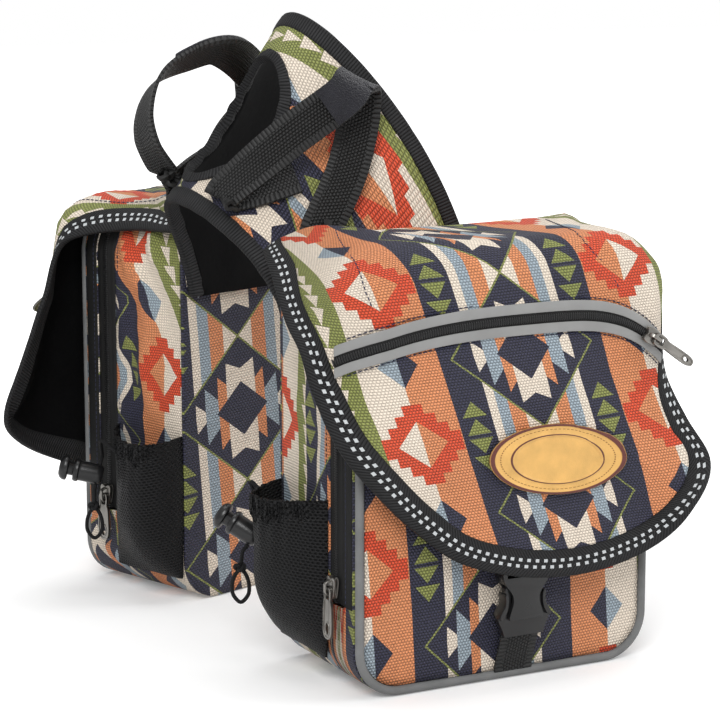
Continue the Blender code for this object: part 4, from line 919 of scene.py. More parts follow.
def gridded(rows, marks, skip=None, hold=None):
    """Faces over rows of places with (u, v) marks in mm. Rows whose ends meet are joined."""
    shape = bmesh.new()
    layer = shape.loops.layers.uv.new("marks")
    free = shape.verts.layers.float.new("free") if hold else None
    grid = [[shape.verts.new(place + ORIGIN) for place in row] for row in rows]
    if hold:
        for r, row in enumerate(grid):
            for vertex in row:
                vertex[free] = hold(r)
    for r in range(len(rows) - 1):
        for c in range(len(rows[0]) - 1):
            if skip and skip(r, c):
                continue
            corners = ((r, c), (r, c + 1), (r + 1, c + 1), (r + 1, c))
            face = shape.faces.new([grid[i][j] for i, j in corners])
            face.smooth = True
            for loop, (i, j) in zip(face.loops, corners):
                loop[layer].uv = marks[i][j]
    bmesh.ops.remove_doubles(shape, verts=shape.verts, dist=1e-6)
    return shape, free


def cloth(name, rows, marks, material, inside, replaces=(), thick=0.0, lift=0.0, skip=None,
          wave=None, edge=0.0, inner=None, hold=None, body=BODY):
    """A sheet over rows of places, which carry (u, v) marks in mm and face away from a point.

    Its outer face is lifted off the places, its thickness goes back inside, and wave gives each
    place a further small rise, less in the rows that hold says.
    """
    shape, free = gridded(rows, marks, skip, hold or (lambda row: 1.0))
    bmesh.ops.delete(shape, geom=[v for v in shape.verts if not v.link_faces], context="VERTS")
    shape.normal_update()
    centre = inside + ORIGIN
    if sum(f.normal.dot(f.calc_center_median() - centre) * f.calc_area() for f in shape.faces) < 0:
        bmesh.ops.reverse_faces(shape, faces=shape.faces)
        shape.normal_update()
    moves = [v.normal * (lift + (wave(v.co - ORIGIN) * v[free] if wave else 0.0))
             for v in shape.verts]
    for vertex, move in zip(shape.verts, moves):
        vertex.co += move
    item = finished(name, mesh_of(name, shape), material, body, replaces, inner)
    if thick:
        wall = item.modifiers.new("thickness", "SOLIDIFY")
        wall.thickness, wall.offset, wall.use_even_offset = thick, -1.0, False
        wall.material_offset = 1 if inner else 0
    if edge:
        soft = item.modifiers.new("edges", "BEVEL")
        soft.width, soft.segments, soft.limit_method = edge, 3, "ANGLE"
        soft.angle_limit = math.radians(50)
    return item


def lengths(path):
    """The running length along a path, in mm."""
    total = [0.0]
    for before, after in zip(path, path[1:]):
        total.append(total[-1] + (after - before).length / MM)
    return total


def strap(name, path, across, width, thick, material, replaces=(), edge=0.0004, body=BODY):
    """A flat strap along a path, whose width runs along the across direction at each point."""
    run = lengths(path)
    shares = [step / 6 - 0.5 for step in range(7)]
    rows = [[point + side * width * share for point, side in zip(path, across)]
            for share in shares]
    marks = [[(length, (share + 0.5) * width / MM) for length in run] for share in shares]
    middle = len(path) // 2
    along = path[middle + 1] - path[middle - 1]
    inside = path[middle] - across[middle].cross(along).normalized() * 0.05
    return cloth(name, rows, marks, material, inside, replaces, thick, thick / 2, edge=edge,
                 body=body)


def tube(name, path, radius, material, replaces=(), closed=False, sides=14, body=BODY):
    """A round cord along a path of places, with rounded ends and marks in mm."""
    points = list(path)
    count = len(points)
    frames, side = [], None
    for index in range(count):
        before = points[index - 1] if closed or index else points[0]
        after = points[(index + 1) % count] if closed or index < count - 1 else points[-1]
        along = (after - before).normalized()
        if side is None:
            side = along.orthogonal().normalized()
        side = (side - along * side.dot(along)).normalized()
        frames.append((along, side, along.cross(side)))
    if closed:
        points.append(points[0])
        along, first, over = frames[0]
        frames.append(frames[0])
        turn = math.atan2(frames[-2][1].dot(over), frames[-2][1].dot(first))
        frames = [(a, (s * math.cos(-turn * i / count) + o * math.sin(-turn * i / count)),
                   (o * math.cos(-turn * i / count) - s * math.sin(-turn * i / count)))
                  for i, (a, s, o) in enumerate(frames[:-1])] + [frames[0]]
    run = lengths(points)
    stations = [(place, radius, axes, length) for place, axes, length in zip(points, frames, run)]
    if not closed:
        first, last = ([(points[end] + frames[end][0] * sign * radius * math.sin(a),
                         radius * math.cos(a), frames[end], run[end]) for a in (0.5, 1.0, 1.5)]
                       for end, sign in ((0, -1), (-1, 1)))
        stations = first[::-1] + stations + last
    angles = [2 * math.pi * step / sides for step in range(sides + 1)]
    rows = [[place + side * size * math.cos(angle) + over * size * math.sin(angle)
             for angle in angles] for place, size, (_, side, over), _ in stations]
    marks = [[(length, angle * radius / MM) for angle in angles] for *_, length in stations]
    shape, _ = gridded(rows, marks)
    if not closed:
        bmesh.ops.holes_fill(shape, edges=[e for e in shape.edges if e.is_boundary])
    bmesh.ops.recalc_face_normals(shape, faces=shape.faces)
    return finished(name, mesh_of(name, shape), material, body, replaces)


def turned(name, profile, matrix, material, body, replaces=(), steps=40, drill=None,
           drill_at=0.0, oval=(1.0, 0.0)):
    """A turned solid from (radius, height) points given from its top down.

    The first figure of oval widens it one way, above the height that the second gives.
    """
    shape = bmesh.new()
    rings = []
    for radius, height in profile:
        if radius < 1e-7:
            rings.append([shape.verts.new((0, 0, height))])
        else:
            wide = radius * (oval[0] if height >= oval[1] else 1.0)
            rings.append([shape.verts.new((wide * math.cos(2 * math.pi * s / steps),
                                           radius * math.sin(2 * math.pi * s / steps), height))
                          for s in range(steps)])
    for upper, lower in zip(rings, rings[1:]):
        for s in range(steps):
            after = (s + 1) % steps
            corners = [upper[s % len(upper)], lower[s % len(lower)], lower[after % len(lower)],
                       upper[after % len(upper)]]
            shape.faces.new(list(dict.fromkeys(corners)))
    bmesh.ops.recalc_face_normals(shape, faces=shape.faces)
    item = finished(name, mesh_of(name, shape), material, body, replaces)
    if drill:
        hole = bmesh.new()
        place = Matrix.Translation((0, 0, drill_at)) @ Matrix.Rotation(math.pi / 2, 4, "Y")
        bmesh.ops.create_cone(hole, cap_ends=True, segments=24, radius1=drill, radius2=drill,
                              depth=0.05, matrix=place)
        cut_out(item, hole)
    item.data.transform(Matrix.Translation(ORIGIN) @ matrix)
    soft_edges(item, 0.0003)
    return item


def soft_edges(item, width):
    """Round the edges, then shade smooth between them."""
    soft = item.modifiers.new("edges", "BEVEL")
    soft.width, soft.segments, soft.limit_method = width, 2, "ANGLE"
    soft.angle_limit = math.radians(35)
    bake(item)
    item.data.shade_smooth()
    item.data.set_sharp_from_angle(angle=math.radians(50))


def plate(name, outlines, thick, matrix, material, body, replaces=(), soft=0.0003, carve=()):
    """A flat piece in a frame's XY plane, cut to an edge and holes, with rounded edges.

    Boxes given as (size, centre) are cut out of it.
    """
    curve = bpy.data.curves.new(name, "CURVE")
    curve.dimensions, curve.fill_mode, curve.extrude = "2D", "BOTH", thick / 2
    for points in outlines:
        spline = curve.splines.new("POLY")
        spline.points.add(len(points) - 1)
        for point, (x, y) in zip(spline.points, points):
            point.co = (x, y, 0, 1)
        spline.use_cyclic_u = True
    drawn = put(name, curve)
    mesh = evaluated(drawn)
    bpy.data.objects.remove(drawn, do_unlink=True)
    shape = bmesh.new()
    shape.from_mesh(mesh)
    bmesh.ops.remove_doubles(shape, verts=shape.verts, dist=1e-6)
    bmesh.ops.dissolve_limit(shape, angle_limit=math.radians(1), verts=shape.verts,
                             edges=shape.edges)
    bmesh.ops.recalc_face_normals(shape, faces=shape.faces)
    shape.to_mesh(mesh)
    shape.free()
    item = finished(name, mesh, material, body, replaces)
    for size, centre in carve:
        box = bmesh.new()
        bmesh.ops.create_cube(box, size=1, matrix=Matrix.Translation(centre)
                              @ Matrix.Diagonal((*size, 1)))
        cut_out(item, box)
    item.data.transform(Matrix.Translation(ORIGIN) @ matrix)
    soft_edges(item, soft)
    return item


def both_ways(points):
    """A closed outline from its half on one side of the X axis, in mm, made smooth."""
    half = [(x, y) for x, y, _ in smooth_path([(x * MM, y * MM, 0) for x, y in points], 4)]
    return half + [(x, -y) for x, y in reversed(half) if y > 1e-6]


def inset(points, distance):
    """A closed outline drawn in by a distance."""
    count, moved = len(points), []
    area = sum(points[i - 1][0] * points[i][1] - points[i][0] * points[i - 1][1]
               for i in range(count))
    for i in range(count):
        along = (Vector(points[(i + 1) % count]) - Vector(points[i - 1])).normalized()
        inward = Vector((-along.y, along.x)) * (1 if area > 0 else -1)
        moved.append(tuple(Vector(points[i]) + inward * distance))
    return moved


def bead_tree():
    """Small rounded beads laid at points, long along each point's run and flat to its out."""
    tree = bpy.data.node_groups.new("laid_beads", "GeometryNodeTree")
    for label, kind in (("Geometry", "Geometry"), ("Size", "Vector"), ("Finish", "Material")):
        tree.interface.new_socket(label, in_out="INPUT", socket_type="NodeSocket" + kind)
    tree.interface.new_socket("Geometry", in_out="OUTPUT", socket_type="NodeSocketGeometry")
    nodes, links = tree.nodes, tree.links
    taken, given = nodes.new("NodeGroupInput"), nodes.new("NodeGroupOutput")
    turns = None
    for label, axis, pivot in (("run", "X", "AUTO"), ("out", "Z", "X")):
        attribute = nodes.new("GeometryNodeInputNamedAttribute")
        attribute.data_type = "FLOAT_VECTOR"
        attribute.inputs["Name"].default_value = label
        turn = nodes.new("FunctionNodeAlignRotationToVector")
        turn.axis, turn.pivot_axis = axis, pivot
        links.new(attribute.outputs["Attribute"], turn.inputs["Vector"])
        if turns:
            links.new(turns, turn.inputs["Rotation"])
        turns = turn.outputs["Rotation"]
    bead = nodes.new("GeometryNodeMeshUVSphere")
    bead.inputs["Segments"].default_value = 8
    bead.inputs["Rings"].default_value = 5
    bead.inputs["Radius"].default_value = 0.5
    laid = nodes.new("GeometryNodeInstanceOnPoints")
    links.new(taken.outputs["Geometry"], laid.inputs["Points"])
    links.new(bead.outputs["Mesh"], laid.inputs["Instance"])
    links.new(turns, laid.inputs["Rotation"])
    links.new(taken.outputs["Size"], laid.inputs["Scale"])
    real = nodes.new("GeometryNodeRealizeInstances")
    smooth = nodes.new("GeometryNodeSetShadeSmooth")
    finish = nodes.new("GeometryNodeSetMaterial")
    links.new(laid.outputs["Instances"], real.inputs["Geometry"])
    links.new(real.outputs["Geometry"], smooth.inputs["Geometry"])
    links.new(smooth.outputs["Geometry"], finish.inputs["Geometry"])
    links.new(taken.outputs["Finish"], finish.inputs["Material"])
    links.new(finish.outputs["Geometry"], given.inputs["Geometry"])
    return tree


BEADS = bead_tree()


def beads(name, placed, size, material, body=BODY):
    """One piece of beads from (place, run, out) triples."""
    mesh = bpy.data.meshes.new(name)
    mesh.from_pydata([place + ORIGIN for place, _, _ in placed], [], [])
    for index, label in ((1, "run"), (2, "out")):
        values = mesh.attributes.new(label, "FLOAT_VECTOR", "POINT")
        for item, triple in zip(values.data, placed):
            item.vector = triple[index]
    item = put(name, mesh)
    layer = item.modifiers.new("beads", "NODES")
    layer.node_group = BEADS
    sockets = {s.name: s.identifier for s in BEADS.interface.items_tree if s.in_out == "INPUT"}
    layer[sockets["Size"]] = size
    layer[sockets["Finish"]] = PAINT[material]
    made = evaluated(item)
    bpy.data.objects.remove(item, do_unlink=True)
    done = put(name, made)
    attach(done, body)


def stitched(path, outs, length, gap, lift):
    """Stitches along a path of places: (place, run, out) triples."""
    placed, room = [], 0.0
    for before, after, out in zip(path, path[1:], outs):
        part = after - before
        while room < part.length:
            along = part.normalized()
            placed.append((before + along * room + out * lift, along, out))
            room += length + gap
        room -= part.length
    return placed


# Bag body


def outline(inset=0.0, per_arc=14, per_side=26, per_top=20):
    """Points, outward normals and running mm round the bag's front view from its foot's middle."""
    flat, low, high = HALF_WIDTH - CORNER_RADIUS, CORNER_RADIUS, BAG_HEIGHT - CORNER_RADIUS
    half = [((flat * s / per_top, 0), (0, -1), flat * s / per_top) for s in range(per_top)]

    def corner(x, z, start, before):
        return [((x + CORNER_RADIUS * math.cos(a), z + CORNER_RADIUS * math.sin(a)),
                 (math.cos(a), math.sin(a)), before + CORNER_RADIUS * (a - start))
                for a in (start + math.pi / 2 * s / per_arc for s in range(per_arc))]

    half += corner(flat, low, -math.pi / 2, flat)
    before = flat + CORNER_RADIUS * math.pi / 2
    half += [((HALF_WIDTH, low + (high - low) * s / per_side), (1, 0),
              before + (high - low) * s / per_side) for s in range(per_side)]
    before += high - low
    half += corner(flat, high, 0, before)
    before += CORNER_RADIUS * math.pi / 2
    half += [((flat * (1 - s / per_top), BAG_HEIGHT), (0, 1), before + flat * s / per_top)
             for s in range(per_top + 1)]
    whole = half + [((-x, z), (-nx, nz), run) for (x, z), (nx, nz), run in reversed(half[:-1])]
    return [((x - nx * inset, z - nz * inset), (nx, nz), run / MM)
            for (x, z), (nx, nz), run in whole]


def front_mark(side, x, z):
    x, z = x / MM, z / MM
    if side.mirrored:
        return -1.03 * x + 0.08 * z + 20, -0.05 * x + 0.96 * z - 60
    return 1.033 * x + 0.088 * z + 5.6, -0.051 * x + 0.960 * z - 28.0


def back_mark(_, x, z):
    x, z = x / MM, z / MM
    return 0.794 * x + 0.070 * z + 27.8, -0.049 * x + 0.973 * z - 120.2


def gusset_mark(side, y, run, past=False):
    """The print on the gusset; past the right bag's olive band it goes on from another figure."""
    if side.mirrored:
        lift = run - HALF_WIDTH / MM
        rise = min(1, max(0, (lift - 158) / 70)) * 33
        sway = 6 * math.sin(lift / 7.5) * min(1, max(0, (-y / MM - 34) / 18))
        return 80.5 + 1.27 * (y / MM + 17.9 + rise + sway), run - 186.5
    if past:
        return 50.0 + 1.27 * (y / MM + 35.0), run - 186.5
    return 82.0 - 1.27 * (y / MM + 6.0), run - 186.5


def disc_rows(side, y_at, inset, scales, mark):
    """Rings of places and marks that shrink to the middle of a face."""
    rows, marks = [], []
    middle = BAG_HEIGHT / 2
    for scale in scales:
        row, mark_row = [], []
        for (x, z), _, _ in outline(inset):
            x, z = x * scale, middle + (z - middle) * scale
            row.append(side.place((x, y_at(x, z), z)))
            mark_row.append(mark(side, x, z))
        rows.append(row)
        marks.append(mark_row)
    return rows, marks


def build_body(side):
    name = side.node
    scales = [1 - step / 24 for step in range(25)]
    centre = side.place(BAG_CENTRE)

    rows, marks = disc_rows(side, lambda x, z: BODY_FRONT - front_bulge(x, z), PANEL_INSET, scales,
                            front_mark)
    cloth(name("front_cloth"), rows, marks, "print", centre,
          (name("front_panel"),), CLOTH, 0, wave=lambda place: 0.0009 * creases(place, 0.045, 1.3))
    rows, marks = disc_rows(side, lambda x, z: 0.0, GAP, scales, back_mark)
    cloth(name("back_cloth"), rows, marks, "print", centre,
          (name("back_panel"),), CLOTH, 0,
          wave=lambda place: -0.0004 + 0.0004 * creases(place, 0.05))

    seam = -35 * MM
    depths = [-CLOTH - GAP + (seam + CLOTH + GAP) * s / 16 for s in range(17)]
    band = len(depths) if not side.mirrored else 99
    depths += [seam + (ZIP_Y + SLOT_HALF - seam) * s / 15 for s in range(16)]
    cut = len(depths) - 1
    depths += [ZIP_Y - SLOT_HALF + (GUSSET_FRONT - ZIP_Y + SLOT_HALF) * s / 5 for s in range(6)]
    stations = outline()
    rows = [[side.place((x, y, z)) for (x, z), _, _ in stations] for y in depths]
    marks = [[gusset_mark(side, y, run, band <= row <= cut) for _, _, run in stations]
             for row, y in enumerate(depths)]

    def in_slot(row, column):
        lower = min(stations[column][0][1], stations[column + 1][0][1])
        return row == cut and lower > ZIP_START - 4 * MM

    def folds(place):
        local = side.matrix.inverted() @ place
        y = -local.y if side.mirrored else local.y
        fade = min(1, max(0, min(-y - 4 * MM, y - ZIP_Y - SLOT_HALF) / (12 * MM)))
        fade *= min(1, max(0, (local.z - 4 * MM) / (14 * MM)))
        rise = (0.0012 * creases(Vector((0, 0.35 * local.z + y, local.z * 0.4)), 0.014, 3.1)
                + 0.0016 * creases(place, 0.05, 5.0))
        if side.mirrored and local.x < 0:
            up = min(1, max(0, (local.z - POCKET_HEIGHT - 4 * MM) / (24 * MM)))
            sway = y + 9 * MM * math.sin(local.z / (17 * MM)) + 0.25 * local.z
            pleat = 0.5 + 0.5 * math.sin(2 * math.pi * sway / (30 * MM))
            rise += up * (0.0042 * pleat ** 1.6
                          + 0.0016 * creases(Vector((0, 1.6 * y, local.z)), 0.022, 4.4))
        return fade * rise

    cloth(name("gusset_cloth"), rows, marks, "print", centre, (name("gusset"),),
          CLOTH, 0, skip=in_slot, wave=folds)

    seam = [side.place((x, BODY_FRONT, z)) for (x, z), _, _ in outline(PIPING_INSET)[:-1]]
    tube(name("piping_cord"), seam, PIPING_RADIUS, "piping", (name("piping"),),
         closed=True, sides=16)

    mouth, floor = BODY_FRONT + LINER_MOUTH, -CLOTH - 2 * GAP
    inner = CLOTH + GAP
    rows = [[side.place((x, mouth + (floor - mouth) * s / 8, z)) for (x, z), _, _ in outline(inner)]
            for s in range(9)]
    for scale in scales[1:]:
        rows.append([side.place((x * scale, floor, BAG_HEIGHT / 2 + (z - BAG_HEIGHT / 2) * scale))
                     for (x, z), _, _ in outline(inner)])
    marks = [[(0.0, 0.0)] * len(row) for row in rows]
    cloth(name("lining_cloth"), rows, marks, "lining", centre, (name("liner"),),
          LINER_WALL)


def build_main_zip(side):
    """Tapes either side of a fine coil, flush with the cloth, and a black border to the front."""
    name = side.node
    centre = side.place(BAG_CENTRE)
    stations = outline(per_arc=20, per_side=40, per_top=40)
    keep = [i for i, ((_, z), _, _) in enumerate(stations) if z >= ZIP_START]
    stations = stations[keep[0]:keep[-1] + 1]
    half, coil, tape_at = ZIP_TAPE / 2, ZIP_COIL / 2, 0.5 * MM
    profile = [(half, tape_at), (0.6 * half, tape_at - 0.0001), (coil, tape_at),
               (0.7 * coil, tape_at - 0.6 * COIL_RISE), (0, tape_at - 0.75 * COIL_RISE),
               (-0.7 * coil, tape_at - 0.6 * COIL_RISE), (-coil, tape_at),
               (-0.6 * half, tape_at - 0.0001), (-half, tape_at)]
    rows = [[side.place((x - nx * inset, ZIP_Y + y, z - nz * inset))
             for (x, z), (nx, nz), _ in stations] for y, inset in profile]
    marks = [[(run, y / MM) for _, _, run in stations] for y, _ in profile]
    cloth(name("zip_tape"), rows, marks, "tape", centre, (name("main_zip"),),
          TAPE_THICK, 0)
    strip = [(ZIP_Y - SLOT_HALF - 0.3 * MM, 0.2 * MM), (ZIP_Y - SLOT_HALF - 0.8 * MM, 0.5 * MM),
             (GUSSET_FRONT + 1.5 * MM, 0.5 * MM), (GUSSET_FRONT + 1 * MM, 0.2 * MM)]
    rows = [[side.place((x + nx * out, y, z + nz * out)) for (x, z), (nx, nz), _ in stations]
            for y, out in strip]
    marks = [[(run, y / MM) for _, _, run in stations] for y, _ in strip]
    cloth(name("zip_border"), rows, marks, "tape", centre, (), 0.4 * MM, 0)
    sunk = tape_at - COIL_RISE + 0.0002
    middle = [side.place((x - nx * sunk, ZIP_Y, z - nz * sunk))
              for (x, z), (nx, nz), _ in stations]
    outs = [side.direction((nx, 0, nz)) for _, (nx, nz), _ in stations]
    wide = side.direction((0, 1, 0))
    teeth = [(place, wide, out) for place, _, out in stitched(middle, outs, 0.0, 1.45 * MM, 0.0)]
    beads(name("zip_teeth"), teeth, (4.2 * MM, 1.2 * MM, 0.9 * MM), "coil")
    thread = []
    for y in (ZIP_Y + SLOT_HALF + 3 * MM, ZIP_Y - SLOT_HALF - 3 * MM):
        line = [side.place((x + nx * 0.0004, y, z + nz * 0.0004))
                for (x, z), (nx, nz), _ in stations]
        thread += stitched(line, outs, 2.2 * MM, 0.9 * MM, 0.0001)
    beads(name("zip_topstitch"), thread, (2.4 * MM, 0.6 * MM, 0.5 * MM), "thread")


# Flap


def core_at(x, near):
    """How far inside the faces the flap's fold is centred, softer towards the near side."""
    share = min(1, max(0, (-x - 30 * MM) / (45 * MM)))
    return FLAP_CORE + (near - FLAP_CORE) * share * share * (3 - 2 * share)


def drape_distance(point, near):
    """How far a point lies outside the surface that the flap's inner face follows."""
    x, y, z = point
    core = core_at(x, near)
    flat_x, flat_z = HALF_WIDTH - CORNER_RADIUS, BAG_HEIGHT / 2 - CORNER_RADIUS
    dx, dz = abs(x) - flat_x, abs(z - BAG_HEIGHT / 2) - flat_z
    round_out = math.hypot(max(dx, 0), max(dz, 0)) + min(max(dx, dz), 0) - CORNER_RADIUS
    a = round_out + core
    b = -y + BODY_FRONT + core - front_bulge(x, z)
    return math.hypot(max(a, 0), max(b, 0)) + min(max(a, b), 0) - core - flap_standoff(y)


def draped(guide, near=FLAP_CORE):
    """The point of the drape surface on the ray through a guide point."""
    ray = (Vector(guide) - DRAPE_FROM).normalized()
    short, far = 0.0, 2 * (BAG_WIDTH + BAG_HEIGHT)
    for _ in range(34):
        middle = (short + far) / 2
        if drape_distance(DRAPE_FROM + ray * middle, near) < 0:
            short = middle
        else:
            far = middle
    return DRAPE_FROM + ray * short


class Flap:
    """The flap's inner face, in columns that run from its edge to a middle on its front."""

    def __init__(self, side, steps):
        self.near = FLAP_CORE if side.mirrored else NEAR_CORE
        keys, flare = (smooth_path(path, steps) for path in edge_keys(side))
        self.free = len(keys)
        root = [Vector((FLAP_SEWN_SHARES[0] * HALF_WIDTH * (1 - 2 * s / 24), FLAP_ROOT.y,
                        FLAP_ROOT.z)) for s in range(25)]
        if side.mirrored:
            keys.reverse()
        self.edge = keys + root
        self.flare = flare + [Vector()] * len(root)
        self.lift = [point - self.fit(point) for point in self.edge]
        self.inward = []
        for column, point in enumerate(self.edge):
            before = self.edge[max(column - 1, 0)]
            after = self.edge[min(column + 1, self.free - 1)]
            along = (after - before).normalized() if after != before else Vector((1, 0, 0))
            inward = self.fit(point.lerp(FLAP_MIDDLE, 0.05)) - self.fit(point)
            inward -= along * inward.dot(along)
            self.inward.append(inward.normalized())

    def fit(self, guide):
        return draped(guide, self.near)

    def inside_edge(self, column, distance):
        """A guide point at a distance in from the edge, drawn in where the edge flares."""
        drawn_in = 1 - FLARE_DRAW * self.flare[column].length / FULL_FLARE
        return self.edge[column] + self.inward[column] * (distance * drawn_in)

    def near_edge(self, column, distance):
        """A point at a distance in from the edge."""
        fade = 1 - distance / (self.edge[column] - FLAP_MIDDLE).length
        return (self.fit(self.inside_edge(column, distance))
                + self.lift[column] * fade ** 2 + self.out(column, distance))

    def out(self, column, distance):
        """How far the cloth flares near its edge."""
        return self.flare[column] * max(0, 1 - distance / FLARE_RUN) ** 2

    def point(self, column, share):
        """A point on the way from under the binding, at share 0, to the middle."""
        margin = BINDING_WIDTH - 1.5 * MM if column < self.free else 0
        guide = self.inside_edge(column, margin).lerp(FLAP_MIDDLE, share)
        length = (self.edge[column] - FLAP_MIDDLE).length
        fade = (1 - share) * (1 - margin / length)
        return (self.fit(guide) + self.lift[column] * fade ** 2
                + self.out(column, margin + share * (length - margin)))


def flap_mark(side, point):
    """The print's (u, v) on the flap, unrolled over the bag's top and round its sides."""
    x, y, z = point / MM
    flat_x = (HALF_WIDTH - CORNER_RADIUS) / MM
    dx = max(abs(x) - flat_x, 0)
    dz = max(z - (BAG_HEIGHT - CORNER_RADIUS) / MM, 0)
    reach = math.hypot(dx, dz) or 1.0
    back = max(y + 103, 0)
    wrap = 1 if side.mirrored or x > 0 else NEAR_WRAP
    p = x + math.copysign(back * dx / reach * wrap, x)
    s = z + back * dz / reach
    if side.mirrored:
        return -1.05 * p - 8, s - 139
    return 1.006 * p + 0.324 * s - 65.7, -0.039 * p + 1.035 * s - 108.2


def build_flap(side):
    name = side.node
    flap = Flap(side, 8)
    inside = side.place(DRAPE_FROM)
    loops = 46
    columns = list(range(len(flap.edge))) + [0]
    shares = [min(1.0, step / loops) for step in range(loops + 1)]
    local = [[flap.point(column, share) for column in columns] for share in shares]
    rows = [[side.place(point) for point in row] for row in local]
    marks = [[flap_mark(side, point) for point in row] for row in local]

    def ripple(place):
        point = side.matrix.inverted() @ place
        loose = min(1, max(0, (BAG_HEIGHT - 10 * MM - point.z) / (60 * MM)))
        flare = min(1, max(0, (abs(point.x) - HALF_WIDTH * 0.6) / (50 * MM)))
        return (0.0012 * creases(place, 0.06, 2.0) + loose * 0.0009 * creases(place, 0.028, 7.0)
                + flare * 0.0012 * creases(place, 0.03, 1.0) + 0.0004)

    cloth(name("flap_cloth"), rows, marks, "print", inside, (name("flap"),),
          FLAP_THICK, FLAP_THICK, wave=ripple, inner="lining",
          hold=lambda row: min(1, max(0, (row - 3) / 7)))

    columns = range(flap.free)
    across = [BINDING_WIDTH * s / 8 for s in range(9)]
    local = [[flap.near_edge(column, distance) for column in columns] for distance in across]
    rows = [[side.place(point) for point in row] for row in local]
    run = lengths(rows[4])
    marks = [[(length, distance / MM) for length in run] for distance in across]
    cloth(name("flap_trim"), rows, marks, "jacquard", inside,
          (name("flap_binding"),), BINDING_THICK + 0.6 * MM, BINDING_THICK + 0.3 * MM,
          edge=1.1 * MM, wave=lambda place: 0.0003 * creases(place, 0.02, 4.0),
          inner="grosgrain")

    width = len(flap.edge)
    points = [flap.point(c, share) for share in shares[:-1] for c in range(width)]
    faces = [(r * width + c, r * width + (c + 1) % width,
              (r + 1) * width + (c + 1) % width, (r + 1) * width + c)
             for r in range(len(shares) - 2) for c in range(width)]
    tree = BVHTree.FromPolygons([tuple(side.place(p)) for p in points], faces)
    return flap, tree


def on_flap(side, tree, x, z, lift):
    """A place over the flap's outer face, straight out from the body at a level, or None."""
    inner = Vector((0.6 * x, 0.4 * BODY_FRONT, z))
    ray = (Vector((x, BODY_FRONT, z)) - inner).normalized()
    start, way = side.place(inner + ray * BAG_WIDTH), -side.direction(ray)
    place, normal, _, _ = tree.ray_cast(start, way)
    if place is None:
        return None
    if normal.dot(way) > 0:
        normal = -normal
    return place + normal * (FLAP_THICK + lift)


def on_flap_zip(side, tree, reach, up, lift):
    x, z = flap_zip_place(reach)
    z -= FLAP_ZIP_TUCK * max(0, -reach) ** 3.3
    return on_flap(side, tree, -x if side.mirrored else x, z + up, lift)


# The flap's two side seams from its top down to the zip, in mm
SIDE_SEAMS = (((-76, -30, 256), (-89, -66, 255), (-95, -92, 249), (-96, -103, 238),
               (-93, -107, 227)),
              ((60, -40, 257), (50, -78, 257), (47, -97, 255), (52, -105, 247), (60, -107, 238),
               (68, -107, 226)))


def build_flap_zip(side, tree):
    name = side.node
    half, coil = FLAP_ZIP_TAPE / 2, FLAP_ZIP_COIL / 2
    low = FLAP_ZIP_LIFT + FLAP_ZIP_THICK
    steps = 110
    reaches = [2.07 * step / steps - 1.07 for step in range(steps + 1)]
    inside = side.place(DRAPE_FROM)
    outer = half - TAPE_MARGIN
    reaches = [reach for reach in reaches
               if all(on_flap_zip(side, tree, reach, up, 0) for up in (half, 0, -half))]

    def band(label, ups, lifts, material, slot, replaces=(), thick=FLAP_ZIP_THICK, edge=0.0):
        rows = [[on_flap_zip(side, tree, reach, up, lift) for reach in reaches]
                for up, lift in zip(ups, lifts)]
        run = lengths(rows[0])
        marks = [[(length, up / MM) for length in run] for up in ups]
        cloth(name(label), rows, marks, material, inside, replaces, thick, 0, edge=edge)

    wide = coil + 0.6 * MM
    under = wide + 1.5 * MM
    band("flap_zip_tape", (under, coil, 0.7 * coil, 0, -0.7 * coil, -coil, -under),
         (low, low, low + 0.6 * COIL_RISE, low + 0.7 * COIL_RISE, low + 0.6 * COIL_RISE, low, low),
         "tape", "black_zip", (name("flap_zip"),))
    for label, sign in (("upper", 1), ("lower", -1)):
        ups = [sign * (wide + (outer - wide) * s / 5) for s in range(6)]
        lifts = [low + rise * MM for rise in (0.45, 0.45, 0.4, 0.3, 0, -0.2)]
        band(f"flap_zip_{label}_tape", ups, lifts, "reflective", "reflective_tape",
             thick=FLAP_ZIP_THICK + 0.4 * MM, edge=0.35 * MM)
    middle = [on_flap_zip(side, tree, reach, 0, low + COIL_RISE - 0.2 * MM) for reach in reaches]
    outs = [(on_flap_zip(side, tree, reach, 0, 0.01)
             - on_flap_zip(side, tree, reach, 0, 0)).normalized() for reach in reaches]
    teeth = [(place, along.cross(out).normalized(), out)
             for place, along, out in stitched(middle, outs, 0.0, 1.45 * MM, 0.0)]
    beads(name("flap_zip_teeth"), teeth, (4.4 * MM, 1.2 * MM, 0.9 * MM), "coil")
    thread = []
    for up in (half - 0.2 * MM, -half + 0.2 * MM):
        line = [on_flap_zip(side, tree, reach, up, 0.5 * MM) for reach in reaches[4:]]
        thread += stitched(line, outs[4:], 2.6 * MM, 0.7 * MM, 0.0001)
    for keys in SIDE_SEAMS:
        line, faced = [], []
        for key in smooth_path([Vector(key) * MM for key in keys], 8):
            near, normal, _, _ = tree.find_nearest(side.place(key))
            if normal.dot(near - inside) < 0:
                normal = -normal
            line.append(near + normal * (FLAP_THICK + 0.5 * MM))
            faced.append(normal)
        thread += stitched(line, faced, 2.6 * MM, 0.7 * MM, 0.0001)
    beads(name("flap_topstitch"), thread, (2.9 * MM, 0.75 * MM, 0.6 * MM), "thread")


